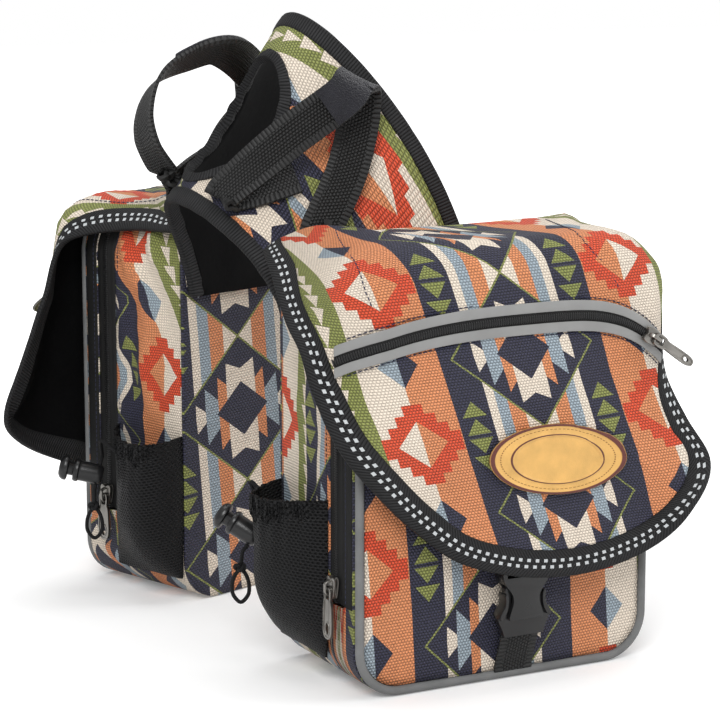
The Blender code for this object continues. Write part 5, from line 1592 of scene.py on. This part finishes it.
def build_patch(side, tree):
    tilt = Matrix.Rotation(PATCH_TILT, 2)

    def at(share, angle, lift):
        flat = Vector((PATCH_DRAW * PATCH_WIDTH / 2 * share * math.cos(angle),
                       PATCH_HEIGHT / 2 * share * math.sin(angle)))
        x, z = tilt @ flat
        return on_flap(side, tree, PATCH_X + x, PATCH_Z + z, PATCH_LIFT + PATCH_THICK + lift)

    steps = 96
    profile = [(1.0, 0), (0.995, 0.5 * MM), (0.975, PATCH_RIM), (0.94, PATCH_RIM),
               (0.915, 0.55 * MM), (0.9, 0.25 * MM), (0.85, 0.2 * MM), (0.8, 0.2 * MM),
               (0.7, 0.25 * MM), (0.69, 0.6 * MM), (0.655, 0.6 * MM), (0.645, 0.2 * MM)]
    profile += [(0.6 * (1 - s / 8), 0.1 * MM) for s in range(9)]
    rows, marks = [], []
    for share, rise in profile:
        angles = [2 * math.pi * step / steps for step in range(steps + 1)]
        rows.append([at(share, angle, rise) for angle in angles])
        marks.append([(share * math.cos(a), share * math.sin(a)) for a in angles])
    cloth(side.node("oval_patch"), rows, marks, "patch", side.place(DRAPE_FROM),
          (side.node("patch"),), PATCH_THICK, 0)


# Zip sliders and pulls


def build_slider(name, matrix, body):
    """A slider waisted towards its tail, with a slit for the tapes and an arched crown."""
    edge = both_ways([(-6.5, 0), (-6.4, 1.6), (-5.2, 3.0), (-1.5, 3.9), (2.5, 4.7), (5.4, 4.3),
                      (6.3, 2.8), (5.4, 0.9), (4.9, 0)])
    plate(name + "_plates", [edge], SLIDER_THICK,
          matrix @ Matrix.Translation((0, 0, SLIDER_THICK / 2)), "metal", body,
          (name,), soft=0.5 * MM,
          carve=[((16 * MM, 3.4 * MM, 1.1 * MM), (0, sign * 4.2 * MM, -0.4 * MM))
                 for sign in (1, -1)])
    top = SLIDER_THICK + CROWN_INNER + CROWN_WALL / 2
    half_arch = [(1.4 * MM, top), (CROWN_REACH - 0.4 * MM, top - 0.3 * MM),
                 (CROWN_REACH + 0.7 * MM, top - 2 * MM),
                 (CROWN_REACH + 0.9 * MM, SLIDER_THICK - 0.7 * MM)]
    arch = [(-x, z) for x, z in reversed(half_arch)] + half_arch
    path = smooth_path([matrix @ Vector((x, 0, z)) for x, z in arch], 4)
    wide = (matrix.to_3x3() @ Vector((0, 1, 0))).normalized()
    strap(name + "_arch", path, [wide] * len(path), CROWN_WIDTH, 1.2 * MM, "metal",
          edge=0.35 * MM, body=body)


def build_pull(name, matrix, length, width, body):
    """A tapered pull with an eye for the crown, a raised rim and an oval hole near its tip."""
    eye_width, eye_length = CROWN_WIDTH + 2 * MM, CROWN_REACH + CROWN_WALL + 1.2 * MM
    head, half, long = (eye_width / 2 + 1.7 * MM) / MM, width / 2 / MM, length / MM
    edge = both_ways([(0.8, 0), (0.7, 0.6 * head), (-0.6, 0.95 * head), (-3.5, head),
                      (-7, 0.92 * head), (-10, 0.88 * half + 0.1), (-0.6 * long, half),
                      (-0.82 * long, half), (-0.94 * long, 0.8 * half), (-long + 0.2, 0.4 * half),
                      (-long, 0)])
    near, far, wide = -PULL_BAR / MM / 2, -(PULL_BAR / 2 + eye_length) / MM, eye_width / MM / 2
    eye = both_ways([(near, 0), (near, wide - 0.5), (near - 0.5, wide), (far + 0.8, wide),
                     (far, wide - 0.8), (far, 0)])
    hole_at, hole = -length + 6 * MM, width / 2 * 0.42

    def oval(grown):
        return [(hole_at + (1.6 * hole + grown) * math.cos(math.radians(angle)),
                 (hole + grown) * math.sin(math.radians(angle))) for angle in range(0, 360, 15)]

    plate(name + "_plate", [edge, eye, oval(0)], PULL_THICK - 0.4 * MM, matrix, "metal", body,
          (name,), soft=0.2 * MM)
    plate(name + "_rim", [edge, inset(edge, 0.9 * MM)], PULL_THICK + 0.4 * MM, matrix, "metal",
          body, soft=0.25 * MM)
    plate(name + "_hole_rim", [oval(0.8 * MM), oval(0)], PULL_THICK + 0.3 * MM, matrix, "metal",
          body, soft=0.2 * MM)


def build_main_slider(side):
    """The slider rests at the foot of the zip on the side where both bags have theirs."""
    proud = COIL_RISE - 0.5 * MM + GAP
    out = side.direction((-1, 0, 0))
    foot = side.place((-HALF_WIDTH - proud, ZIP_Y, ZIP_START + SLIDER_LENGTH / 2 + 3 * MM))
    build_slider(side.node("zip_slider"), frame_at(foot, (0, 0, 1), out), side.node("main_slider"))
    bar = foot + out * pull_bar_height()
    build_pull(side.node("zip_pull"), frame_at(bar, (0, 0, 1), out), PULL_LENGTH, PULL_WIDTH,
               side.node("main_pull"))


def build_flap_slider(side, tree):
    """The slider rests on the zip's end towards the flaring corner."""
    lift = FLAP_ZIP_LIFT + FLAP_ZIP_THICK + COIL_RISE + 2 * GAP
    rest = 1 - 0.8 * SLIDER_LENGTH / FLAP_ZIP_FAR_HALF
    back = rest - 0.6 * SLIDER_LENGTH / FLAP_ZIP_FAR_HALF
    here = on_flap_zip(side, tree, rest, 0, lift)
    run = (on_flap_zip(side, tree, back, 0, lift) - here).normalized()
    out = (here - on_flap_zip(side, tree, rest, 0, 0)).normalized()
    build_slider(side.node("flap_slider"), frame_at(here, run, out), side.node("pocket_slider"))
    bar = here + out * pull_bar_height()
    build_pull(side.node("flap_pull"), frame_at(bar, run, out), FLAP_PULL_LENGTH, FLAP_PULL_WIDTH,
               side.node("pocket_pull"))


# Mesh pockets, cord locks and cords


def build_pocket(side, hand, label):
    name = side.node(label)
    centre = side.place(BAG_CENTRE)
    columns, levels = 260, 40
    ups = [step / levels for step in range(levels + 1)]
    out = side.direction((hand, 0, 0))

    def at(column, up):
        across = column / columns
        pleat = math.sin(2 * math.pi * column / 8.0 + 1.5 * math.sin(across * 23))
        tight = max(0, (up - 0.8) / 0.2) ** 1.5 * math.sin(math.pi * across) ** 0.3
        place = side.place(pocket_point(hand, across, up)) + out * 0.75 * MM * pleat * tight
        return place + Vector((0, 0, 0.7 * MM * pleat * tight))

    rows = [[at(column, up) for column in range(columns + 1)] for up in ups]
    run = lengths([side.place(pocket_point(hand, step / columns, 0.8))
                   for step in range(columns + 1)])
    tall = (POCKET_HEIGHT - POCKET_FOOT) / MM
    marks = [[(length, tall * up) for length in run] for up in ups]
    cloth(name + "_cloth", rows, marks, "mesh", centre, (name,), POCKET_THICK,
          POCKET_THICK, edge=0.4 * MM, wave=lambda place: 0.0009 * creases(place, 0.03, 6.0))
    line = [side.place(pocket_point(hand, step / 90, 0.88)) + out * 1.9 * MM for step in range(91)]
    beads(name + "_stitch", stitched(line, [out] * 91, 2.0 * MM, 0.9 * MM, 0.0002),
          (2.2 * MM, 0.5 * MM, 0.4 * MM), "coil")


def build_lock(side, hand, label):
    matrix = lock_frame(side, hand)
    half, bore = LOCK_LENGTH / 2, STEM_RADIUS + GAP
    bore_floor = half - STEM_LENGTH - BUTTON_TRAVEL
    lip = LOCK_RADIUS + LOCK_LIP
    turned(side.node(label) + "_barrel", [
        (0, bore_floor), (bore, bore_floor), (bore, half - 0.3 * MM), (bore + 0.5 * MM, half),
        (LOCK_RADIUS + 0.3 * MM, half), (lip, half - 1.2 * MM), (lip, half - 2.8 * MM),
        (LOCK_RADIUS + 0.1 * MM, half - 3.6 * MM), (LOCK_RADIUS, half - 5 * MM),
        (LOCK_RADIUS, -half + 4 * MM), (LOCK_RADIUS - 0.5 * MM, -half + 1.8 * MM),
        (LOCK_RADIUS - 1.8 * MM, -half), (0, -half)],
        matrix, "plastic", BODY, (side.node(label),), drill=CORD_HOLE,
        drill_at=cord_hole_height())
    cap_at = BUTTON_TRAVEL + GAP
    top = cap_at + BUTTON_CAP
    button = label.replace("lock", "button")
    turned(side.node(button) + "_cap", [
        (0, top - 1.3 * MM), (1.6 * MM, top - 1.2 * MM), (2.6 * MM, top - 0.6 * MM),
        (3.6 * MM, top - 0.1 * MM), (4.6 * MM, top - 0.35 * MM), (5.8 * MM, top - 1.3 * MM),
        (6.6 * MM, top - 2.5 * MM), (7.0 * MM, top - 3.8 * MM), (6.9 * MM, cap_at + 0.5 * MM),
        (6.4 * MM, cap_at), (STEM_RADIUS, cap_at), (STEM_RADIUS, -STEM_LENGTH),
        (0, -STEM_LENGTH)], matrix @ Matrix.Translation((0, 0, half)), "plastic",
        side.node(button), (side.node(button),), oval=(1.18, cap_at + 0.1 * MM))


def build_cord(side, hand, label):
    """The elastic cord: out of the hem, through the lock, a knot, and a loop that hangs."""
    matrix = lock_frame(side, hand)
    level = cord_hole_height()
    through = [matrix @ Vector((x * MM, 0, level)) for x in (-13, -7.5, 0, 7.5, 12)]
    if lock_at_front(side, hand):
        hem = [(HALF_WIDTH + 21.2 * MM, -43 * MM, POCKET_HEIGHT - 12 * MM),
               (HALF_WIDTH + 25 * MM, -52 * MM, POCKET_HEIGHT - 6 * MM)]
    else:
        hem = [(HALF_WIDTH + 12 * MM, -2.9 * MM, POCKET_HEIGHT - 8 * MM),
               (HALF_WIDTH + 17 * MM, 5 * MM, POCKET_HEIGHT - 2 * MM)]
    keys = [side.place((hand * x, y, z)) for x, y, z in hem] + through
    wide = Vector(CAMERA_AXES["right"]).normalized()
    knot = through[-1] + side.direction((hand * 0.1, 0.1, -1)) * 9 * MM
    keys += [knot] + [knot + wide * x * MM + Vector((0, 0, z * MM)) for x, z in (
        (-3.4, -5), (-5.0, -11), (-4.4, -17), (0, -21.5), (4.4, -17), (5.0, -11), (3.4, -5))]
    path = smooth_path(keys + [knot + Vector((0, 0, -0.5 * MM))], 5)
    name = side.node(label)
    cord = tube(name + "_braid", path, CORD_RADIUS, "cord", (name,), sides=12)
    tied = tangle(f"{name}_knot", knot, 3.6 * MM)


def tangle(name, centre, size):
    """An overhand knot of the cord."""
    loops = []
    for step in range(60):
        t = 2 * math.pi * step / 60
        x = math.sin(t) + 2 * math.sin(2 * t)
        y = math.cos(t) - 2 * math.cos(2 * t)
        z = -math.sin(3 * t)
        loops.append(centre + Vector((x * 0.3 * size, y * 0.3 * size, z * 0.42 * size)))
    return tube(name, loops, CORD_RADIUS, "cord", closed=True, sides=10)


# Buckles and their webbing


def buckle_frame(side):
    """The buckle's frame: X across, Y up from the socket's foot and Z out of its face."""
    middle = buckle_depth() - SOCKET_THICK / 2
    origin = side.place((BUCKLE_X, middle, SOCKET_FOOT - BUCKLE_DROP))
    matrix = frame_at(origin, side.direction((1, 0, 0)), (0, 0, 1))
    return matrix @ Matrix.Rotation(math.pi / 2, 4, "X")


def build_buckle(side):
    """A waisted socket, and a plug whose two prongs show at the waist."""
    matrix = buckle_frame(side)

    def outline(points):
        return [(y, x) for x, y in both_ways([(y, x) for x, y in points])]

    body = [(0, 31), (13, 31), (15.2, 30), (15.7, 27), (15.2, 24), (13.2, 20.5), (10.6, 17),
            (9.1, 14.2), (8.6, 11.5), (9.0, 8.5), (10.2, 5), (11.2, 1.5), (11.0, 0.3), (10.4, 0),
            (0, 0)]
    hollow = (26.8 * MM, 23 * MM, 5.4 * MM)
    plate(side.node("socket_shell"), [outline(body)], SOCKET_THICK, matrix, "plastic", BODY,
          (side.node("buckle_socket"),), soft=1.1 * MM,
          carve=[(hollow, (0, hollow[1] / 2 - 1 * MM, 0)),
                 ((26 * MM, 3.2 * MM, 20 * MM), (0, 26.6 * MM, 0))])
    plug = side.node("plug")
    prong = [(0, -10.5), (11.8, -10.5), (13.2, -9.6), (14.2, -6.5), (16.4, -2), (17.2, 1),
             (16.3, 3.2), (14.2, 5.6), (12.7, 8.5), (12.2, 12), (12.6, 15.5), (12.4, 18.5),
             (10.2, 20.4), (8.2, 19), (8.8, 12), (8.4, 5), (6.5, 2.2), (3.4, 2.2), (2.6, 5),
             (2.2, 19), (0, 19.6)]
    plate(side.node("plug_prongs"), [outline(prong)], PLUG_THICK, matrix, "plastic", plug,
          (side.node("buckle_plug"),), soft=0.7 * MM,
          carve=[((26 * MM, 5 * MM, 2.4 * MM), (0, -4.8 * MM, -PLUG_THICK / 2))])
    for hand, label in ((-1, "near"), (1, "far")):
        grip = [(16.5, 0.2), (17.0, 2), (15.6, 5), (13.7, 8), (13.2, 11.5), (13.5, 14.5),
                (12.6, 15.6), (11.6, 14), (11.4, 10), (12.0, 6), (13.6, 2.6), (15.0, 0.6)]
        path = [(hand * x, y) for x, y, _ in smooth_path(
            [(x * MM, y * MM, 0) for x, y in grip + grip[:1]], 4)[:-1]]
        plate(side.node(f"plug_{label}_grip"), [path], SOCKET_THICK - 1.6 * MM, matrix, "plastic",
              plug, soft=0.8 * MM)


def build_webbing(side):
    middle = buckle_depth() - SOCKET_THICK / 2
    bar_low = SOCKET_FOOT - BUCKLE_DROP - PLUG_BAR
    bar_high = bar_low + PLUG_BAR_HEIGHT
    half = WEBBING_THICK / 2
    behind = middle + PLUG_THICK / 2 + GAP + half
    over = bar_high + GAP + half
    seam = BODY_FRONT - front_bulge(BUCKLE_X, 7 * MM) - half - GAP
    points = [(seam, WEBBING_FOOT), (seam - 0.3 * MM, 8 * MM), ((seam + behind) / 2, 17 * MM),
              (behind, bar_low - 2 * MM), (behind, over - 1 * MM), (behind - 1.6 * MM, over)]
    path = smooth_path([side.place((BUCKLE_X, y, z)) for y, z in points], 5)
    across = [side.direction((1, 0, 0))] * len(path)
    piece = strap(side.node("plug_webbing"), path, across, WEBBING, WEBBING_THICK, "webbing",
                  (side.node("buckle_webbing"),))
    side.node("plug_slide")
    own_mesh(piece)


def build_tab(side, flap):
    half = WEBBING_THICK / 2
    foot = SOCKET_FOOT - BUCKLE_DROP + SOCKET_HEIGHT - 6 * MM
    back = buckle_depth() + GAP + half
    tab = [Vector((BUCKLE_X, back, z)) for z in (foot, foot + 12 * MM)]
    column = min(range(flap.free), key=lambda i: abs(flap.edge[i].x - BUCKLE_X)
                 + (1 if flap.edge[i].z > BAG_HEIGHT / 2 else 0))
    for share in (0.1, 0.25):
        sewn = flap.point(column, share)
        tab.append(Vector((BUCKLE_X, sewn.y + 2 * GAP + half, sewn.z)))
    path = smooth_path([side.place(point) for point in tab], 6)
    strap(side.node("socket_webbing"), path, [side.direction((1, 0, 0))] * len(path), WEBBING,
          WEBBING_THICK, "webbing", (side.node("buckle_tab"),))


# Yoke and handles


def build_yoke():
    width = (yoke_point(1, math.pi / 2) - yoke_point(0, math.pi / 2)).length
    trim = (YOKE_BINDING + YOKE_SEAM - 2 * MM) / width
    count = 160
    hole = horn_loop(HORN_BINDING + YOKE_SEAM - 2 * MM, count)
    edge = yoke_frame_loop(count, trim, 1 - trim)
    around = (yoke_point(0.5, math.pi / 2 + 0.1) - yoke_point(0.5, math.pi / 2)).length / 0.1 / MM

    def sheet(lift):
        rows, marks = [], []
        for step in range(17):
            share = step / 16
            row, mark = [], []
            for (a0, t0), (a1, t1) in list(zip(hole, edge)) + [(hole[0], edge[0])]:
                across, angle = a0 + (a1 - a0) * share, t0 + (t1 - t0) * share
                row.append(yoke_point(across, angle) + yoke_normal(across, angle) * lift)
                u, v = 135 * across - 5, around * (angle - math.pi / 2) + 12
                mark.append((1.14 * u + 0.17 * v - 13, v - 0.2 * u + 28))
            rows.append(row)
            marks.append(mark)
        return rows, marks

    rows, marks = sheet(0)
    cloth("yoke_cloth", rows, marks, "print", YOKE_INSIDE, ("yoke_panel",),
          YOKE_THICK, YOKE_THICK, wave=lambda place: 0.0006 * creases(place, 0.05, 8.0))
    rows, marks = sheet(-2 * GAP)
    cloth("yoke_inner_cloth", rows, marks, "lining", YOKE_INSIDE, ("yoke_lining",),
          LINING_THICK, 0, wave=lambda place: 0.0004 * creases(place, 0.03, 9.0))

    under = (YOKE_THICK - LINING_THICK - YOKE_BINDING_THICK) / 2
    steps = 120
    for name, start, end in (("yoke_near_binding", 0, YOKE_BINDING / width),
                             ("yoke_far_binding", 1 - YOKE_BINDING / width, 1)):
        rows = [[yoke_point(start + (end - start) * s / 6, math.pi * step / steps)
                 + yoke_normal(start + (end - start) * s / 6, math.pi * step / steps) * under
                 for step in range(steps + 1)] for s in range(7)]
        run = lengths(rows[0])
        marks = [[(length, YOKE_BINDING / MM * s / 6) for length in run] for s in range(7)]
        cloth(name + "_tape", rows, marks, "grosgrain", YOKE_INSIDE, (name,),
              YOKE_BINDING_THICK, YOKE_BINDING_THICK, edge=1.8 * MM,
              wave=lambda place: 0.0004 * creases(place, 0.012, 2.0))
    rings, marks = [], []
    for s in range(6):
        loop = horn_loop(HORN_BINDING * s / 5, 120)
        ring = [yoke_point(across, angle) + yoke_normal(across, angle) * under
                for across, angle in loop + loop[:1]]
        rings.append(ring)
        marks.append([(length, HORN_BINDING / MM * s / 5) for length in lengths(rings[0])])
    cloth("horn_binding_tape", rings, marks, "grosgrain", YOKE_INSIDE,
          ("horn_binding",), YOKE_BINDING_THICK, YOKE_BINDING_THICK, edge=1.8 * MM,
          wave=lambda place: 0.0016 * creases(place, 0.010, 6.0))


def build_handles():
    """Two webbing loops, one each side of the horn hole, both ends sewn flat on the yoke."""
    lift = HANDLE_LIFT + HANDLE_THICK / 2
    base, fold = math.radians(48), math.radians(60)

    def point(x, y, z):
        return Vector((x, y, z)) * MM

    def sewn_end(turned_over):
        def at(across, angle, rise):
            angle = math.pi - angle if turned_over else angle
            rise += LEFT_HANDLE_RISE if turned_over else 0
            return (on_yoke(across, angle, lift + rise),
                    yoke_around(0.15, angle) * (-1 if turned_over else 1))

        return [at(0.42, base, 0), at(0.28, base + 0.08, 0), at(0.15, fold, 0),
                at(0.115, fold, 2.6 * MM), at(0.15, fold, 6 * MM)]

    def foot_end(degrees, past, rise):
        end = math.radians(degrees)
        return [(on_yoke(0.33, end, lift + 1 * MM + rise), yoke_along(0.33, end) * -1),
                (on_yoke(0.35, end + past, lift + rise), yoke_along(0.33, end) * -1)]

    left_keys = sewn_end(True) + [
        (point(-131, 113, 300), Vector((0.05, -0.97, 0.25))),
        (point(-133, 112, 319), Vector((0, -0.95, 0.3))),
        (point(-124, 110, 339), Vector((-0.1, -0.9, 0.42))),
        (point(-104, 108, 350), Vector((-0.1, -0.8, 0.6))),
        (point(-80, 109, 354), Vector((-0.05, -0.75, 0.65))),
        (on_yoke(0.84, math.radians(124), 10 * MM), Vector((-0.4, -0.6, 0.68))),
        (on_yoke(0.78, math.radians(134), 16 * MM), Vector((-0.8, -0.45, 0.4))),
        (on_yoke(0.55, math.radians(135), 12 * MM), Vector((-0.9, -0.35, 0.1))),
    ] + foot_end(140, 0.03, LEFT_HANDLE_RISE)
    right_keys = sewn_end(False) + [
        (point(-78, 26, 308), Vector((-0.56, 0.44, 0.69))),
        (point(-50, 12, 331), Vector((-0.62, 0.46, 0.62))),
        (point(-40, 15, 340), Vector((-0.72, 0.48, 0.5))),
        (point(-32, 23, 335), Vector((-0.78, 0.49, 0.4))),
        (point(-34, 22, 314), Vector((-0.83, 0.49, 0.27))),
        (point(-45, 17, 285), Vector((-0.83, 0.49, 0.27))),
    ] + foot_end(29, -0.05, 0)
    steps = 12
    for label, keys, hand, first, last in (("left", left_keys, -1, 7.6, 9.4),
                                           ("right", right_keys, 1, 5.7, 8.3)):
        path, across = strap_path(keys, steps)
        strap(f"{label}_grab_strap", path, across, HANDLE_WIDTH, HANDLE_THICK + 0.4 * MM, "webbing",
              (f"{label}_handle",), edge=0.6 * MM)
        patch, patch_across = [], []
        for index in range(round(first * steps), round(last * steps) + 1):
            outward = (path[index + 1] - path[index - 1]).cross(across[index]).normalized() * hand
            patch.append(path[index] + outward * (HANDLE_THICK / 2 + HOOK_PATCH_GAP
                                                  + HOOK_PATCH_THICK / 2))
            patch_across.append(across[index])
        strap(f"{label}_hook_tape", patch, patch_across, HOOK_PATCH_WIDTH, HOOK_PATCH_THICK,
              "plush", (f"{label}_hook_patch",), edge=0.6 * MM)


def build_bag(side):
    build_body(side)
    build_main_zip(side)
    flap, tree = build_flap(side)
    build_flap_zip(side, tree)
    build_main_slider(side)
    build_flap_slider(side, tree)
    if not side.mirrored:
        build_patch(side, tree)
    for hand, label in ((-1, "near"), (1, "far")):
        build_pocket(side, hand, f"{label}_pocket")
        build_lock(side, hand, f"{label}_lock")
        build_cord(side, hand, f"{label}_cord")
    build_buckle(side)
    build_webbing(side)
    build_tab(side, flap)


# Stage


def aim(item, target):
    item.rotation_euler = (Vector(target) - item.location).to_track_quat("-Z", "Y").to_euler()


def set_stage():
    scene = bpy.context.scene
    scene.view_settings.view_transform = "Standard"
    camera = put("camera", bpy.data.cameras.new("camera"))
    camera.data.lens, camera.data.sensor_width = CAMERA_LENS, 36
    right, up, back = (Vector(CAMERA_AXES[name]) for name in ("right", "up", "back"))
    back = back.normalized()
    right = (right - back * right.dot(back)).normalized()
    up = back.cross(right)
    turn = Matrix((right, up, back)).transposed()
    camera.matrix_world = Matrix.Translation(Vector(CAMERA_PLACE) * MM + ORIGIN) @ turn.to_4x4()
    scene.camera = camera

    floor_mesh = bpy.data.meshes.new("floor")
    reach = 6.0
    floor_mesh.from_pydata([(-reach, -reach, 0), (reach, -reach, 0), (reach, reach, 0),
                            (-reach, reach, 0)], [], [(0, 1, 2, 3)])
    floor = put("floor", floor_mesh)
    floor.location.z = min(0.0, CAD_BOX[0][2]) - 0.0004
    material = bpy.data.materials.new("studio_floor")
    material.use_nodes = True
    w = Wires(material.node_tree)
    shader = material.node_tree.nodes["Principled BSDF"]
    shader.inputs["Base Color"].default_value = (0.9, 0.9, 0.9, 1)
    shader.inputs["Roughness"].default_value = 0.9
    shader.inputs["Specular IOR Level"].default_value = 0.0
    shader.inputs["Emission Color"].default_value = (1, 1, 1, 1)
    away = w.node("VectorMath", w.place(False), operation="LENGTH").outputs["Value"]
    seen = w.node("LightPath").outputs["Is Camera Ray"]
    w.feed(shader.inputs["Emission Strength"],
           w.sum("MULTIPLY", seen, w.ramp(away, [(0.2, 0.16), (0.9, 0.75)])))
    floor_mesh.materials.append(material)

    world = scene.world = scene.world or bpy.data.worlds.new("studio")
    world.use_nodes = True
    w = Wires(world.node_tree)
    ground = world.node_tree.nodes["Background"]
    seen = w.node("LightPath").outputs["Is Camera Ray"]
    w.feed(ground.inputs["Color"], (1.0, 1.0, 1.0))
    w.feed(ground.inputs["Strength"], w.sum("MULTIPLY_ADD", seen, 0.45, 0.55))

    for name, place, size, power in (
            ("key", (-1.6, -2.2, 2.4), 1.6, 60), ("side", (2.2, -1.2, 1.6), 1.6, 22),
            ("top", (0.2, 0.6, 2.8), 2.2, 31)):
        lamp = put(name, bpy.data.lights.new(name, "AREA"))
        lamp.data.shape, lamp.data.size, lamp.data.energy = "DISK", size, power
        lamp.location = place
        aim(lamp, (0, 0, 0.18))


set_stage()
for bag_side in (RIGHT, LEFT):
    build_bag(bag_side)
build_yoke()
build_handles()
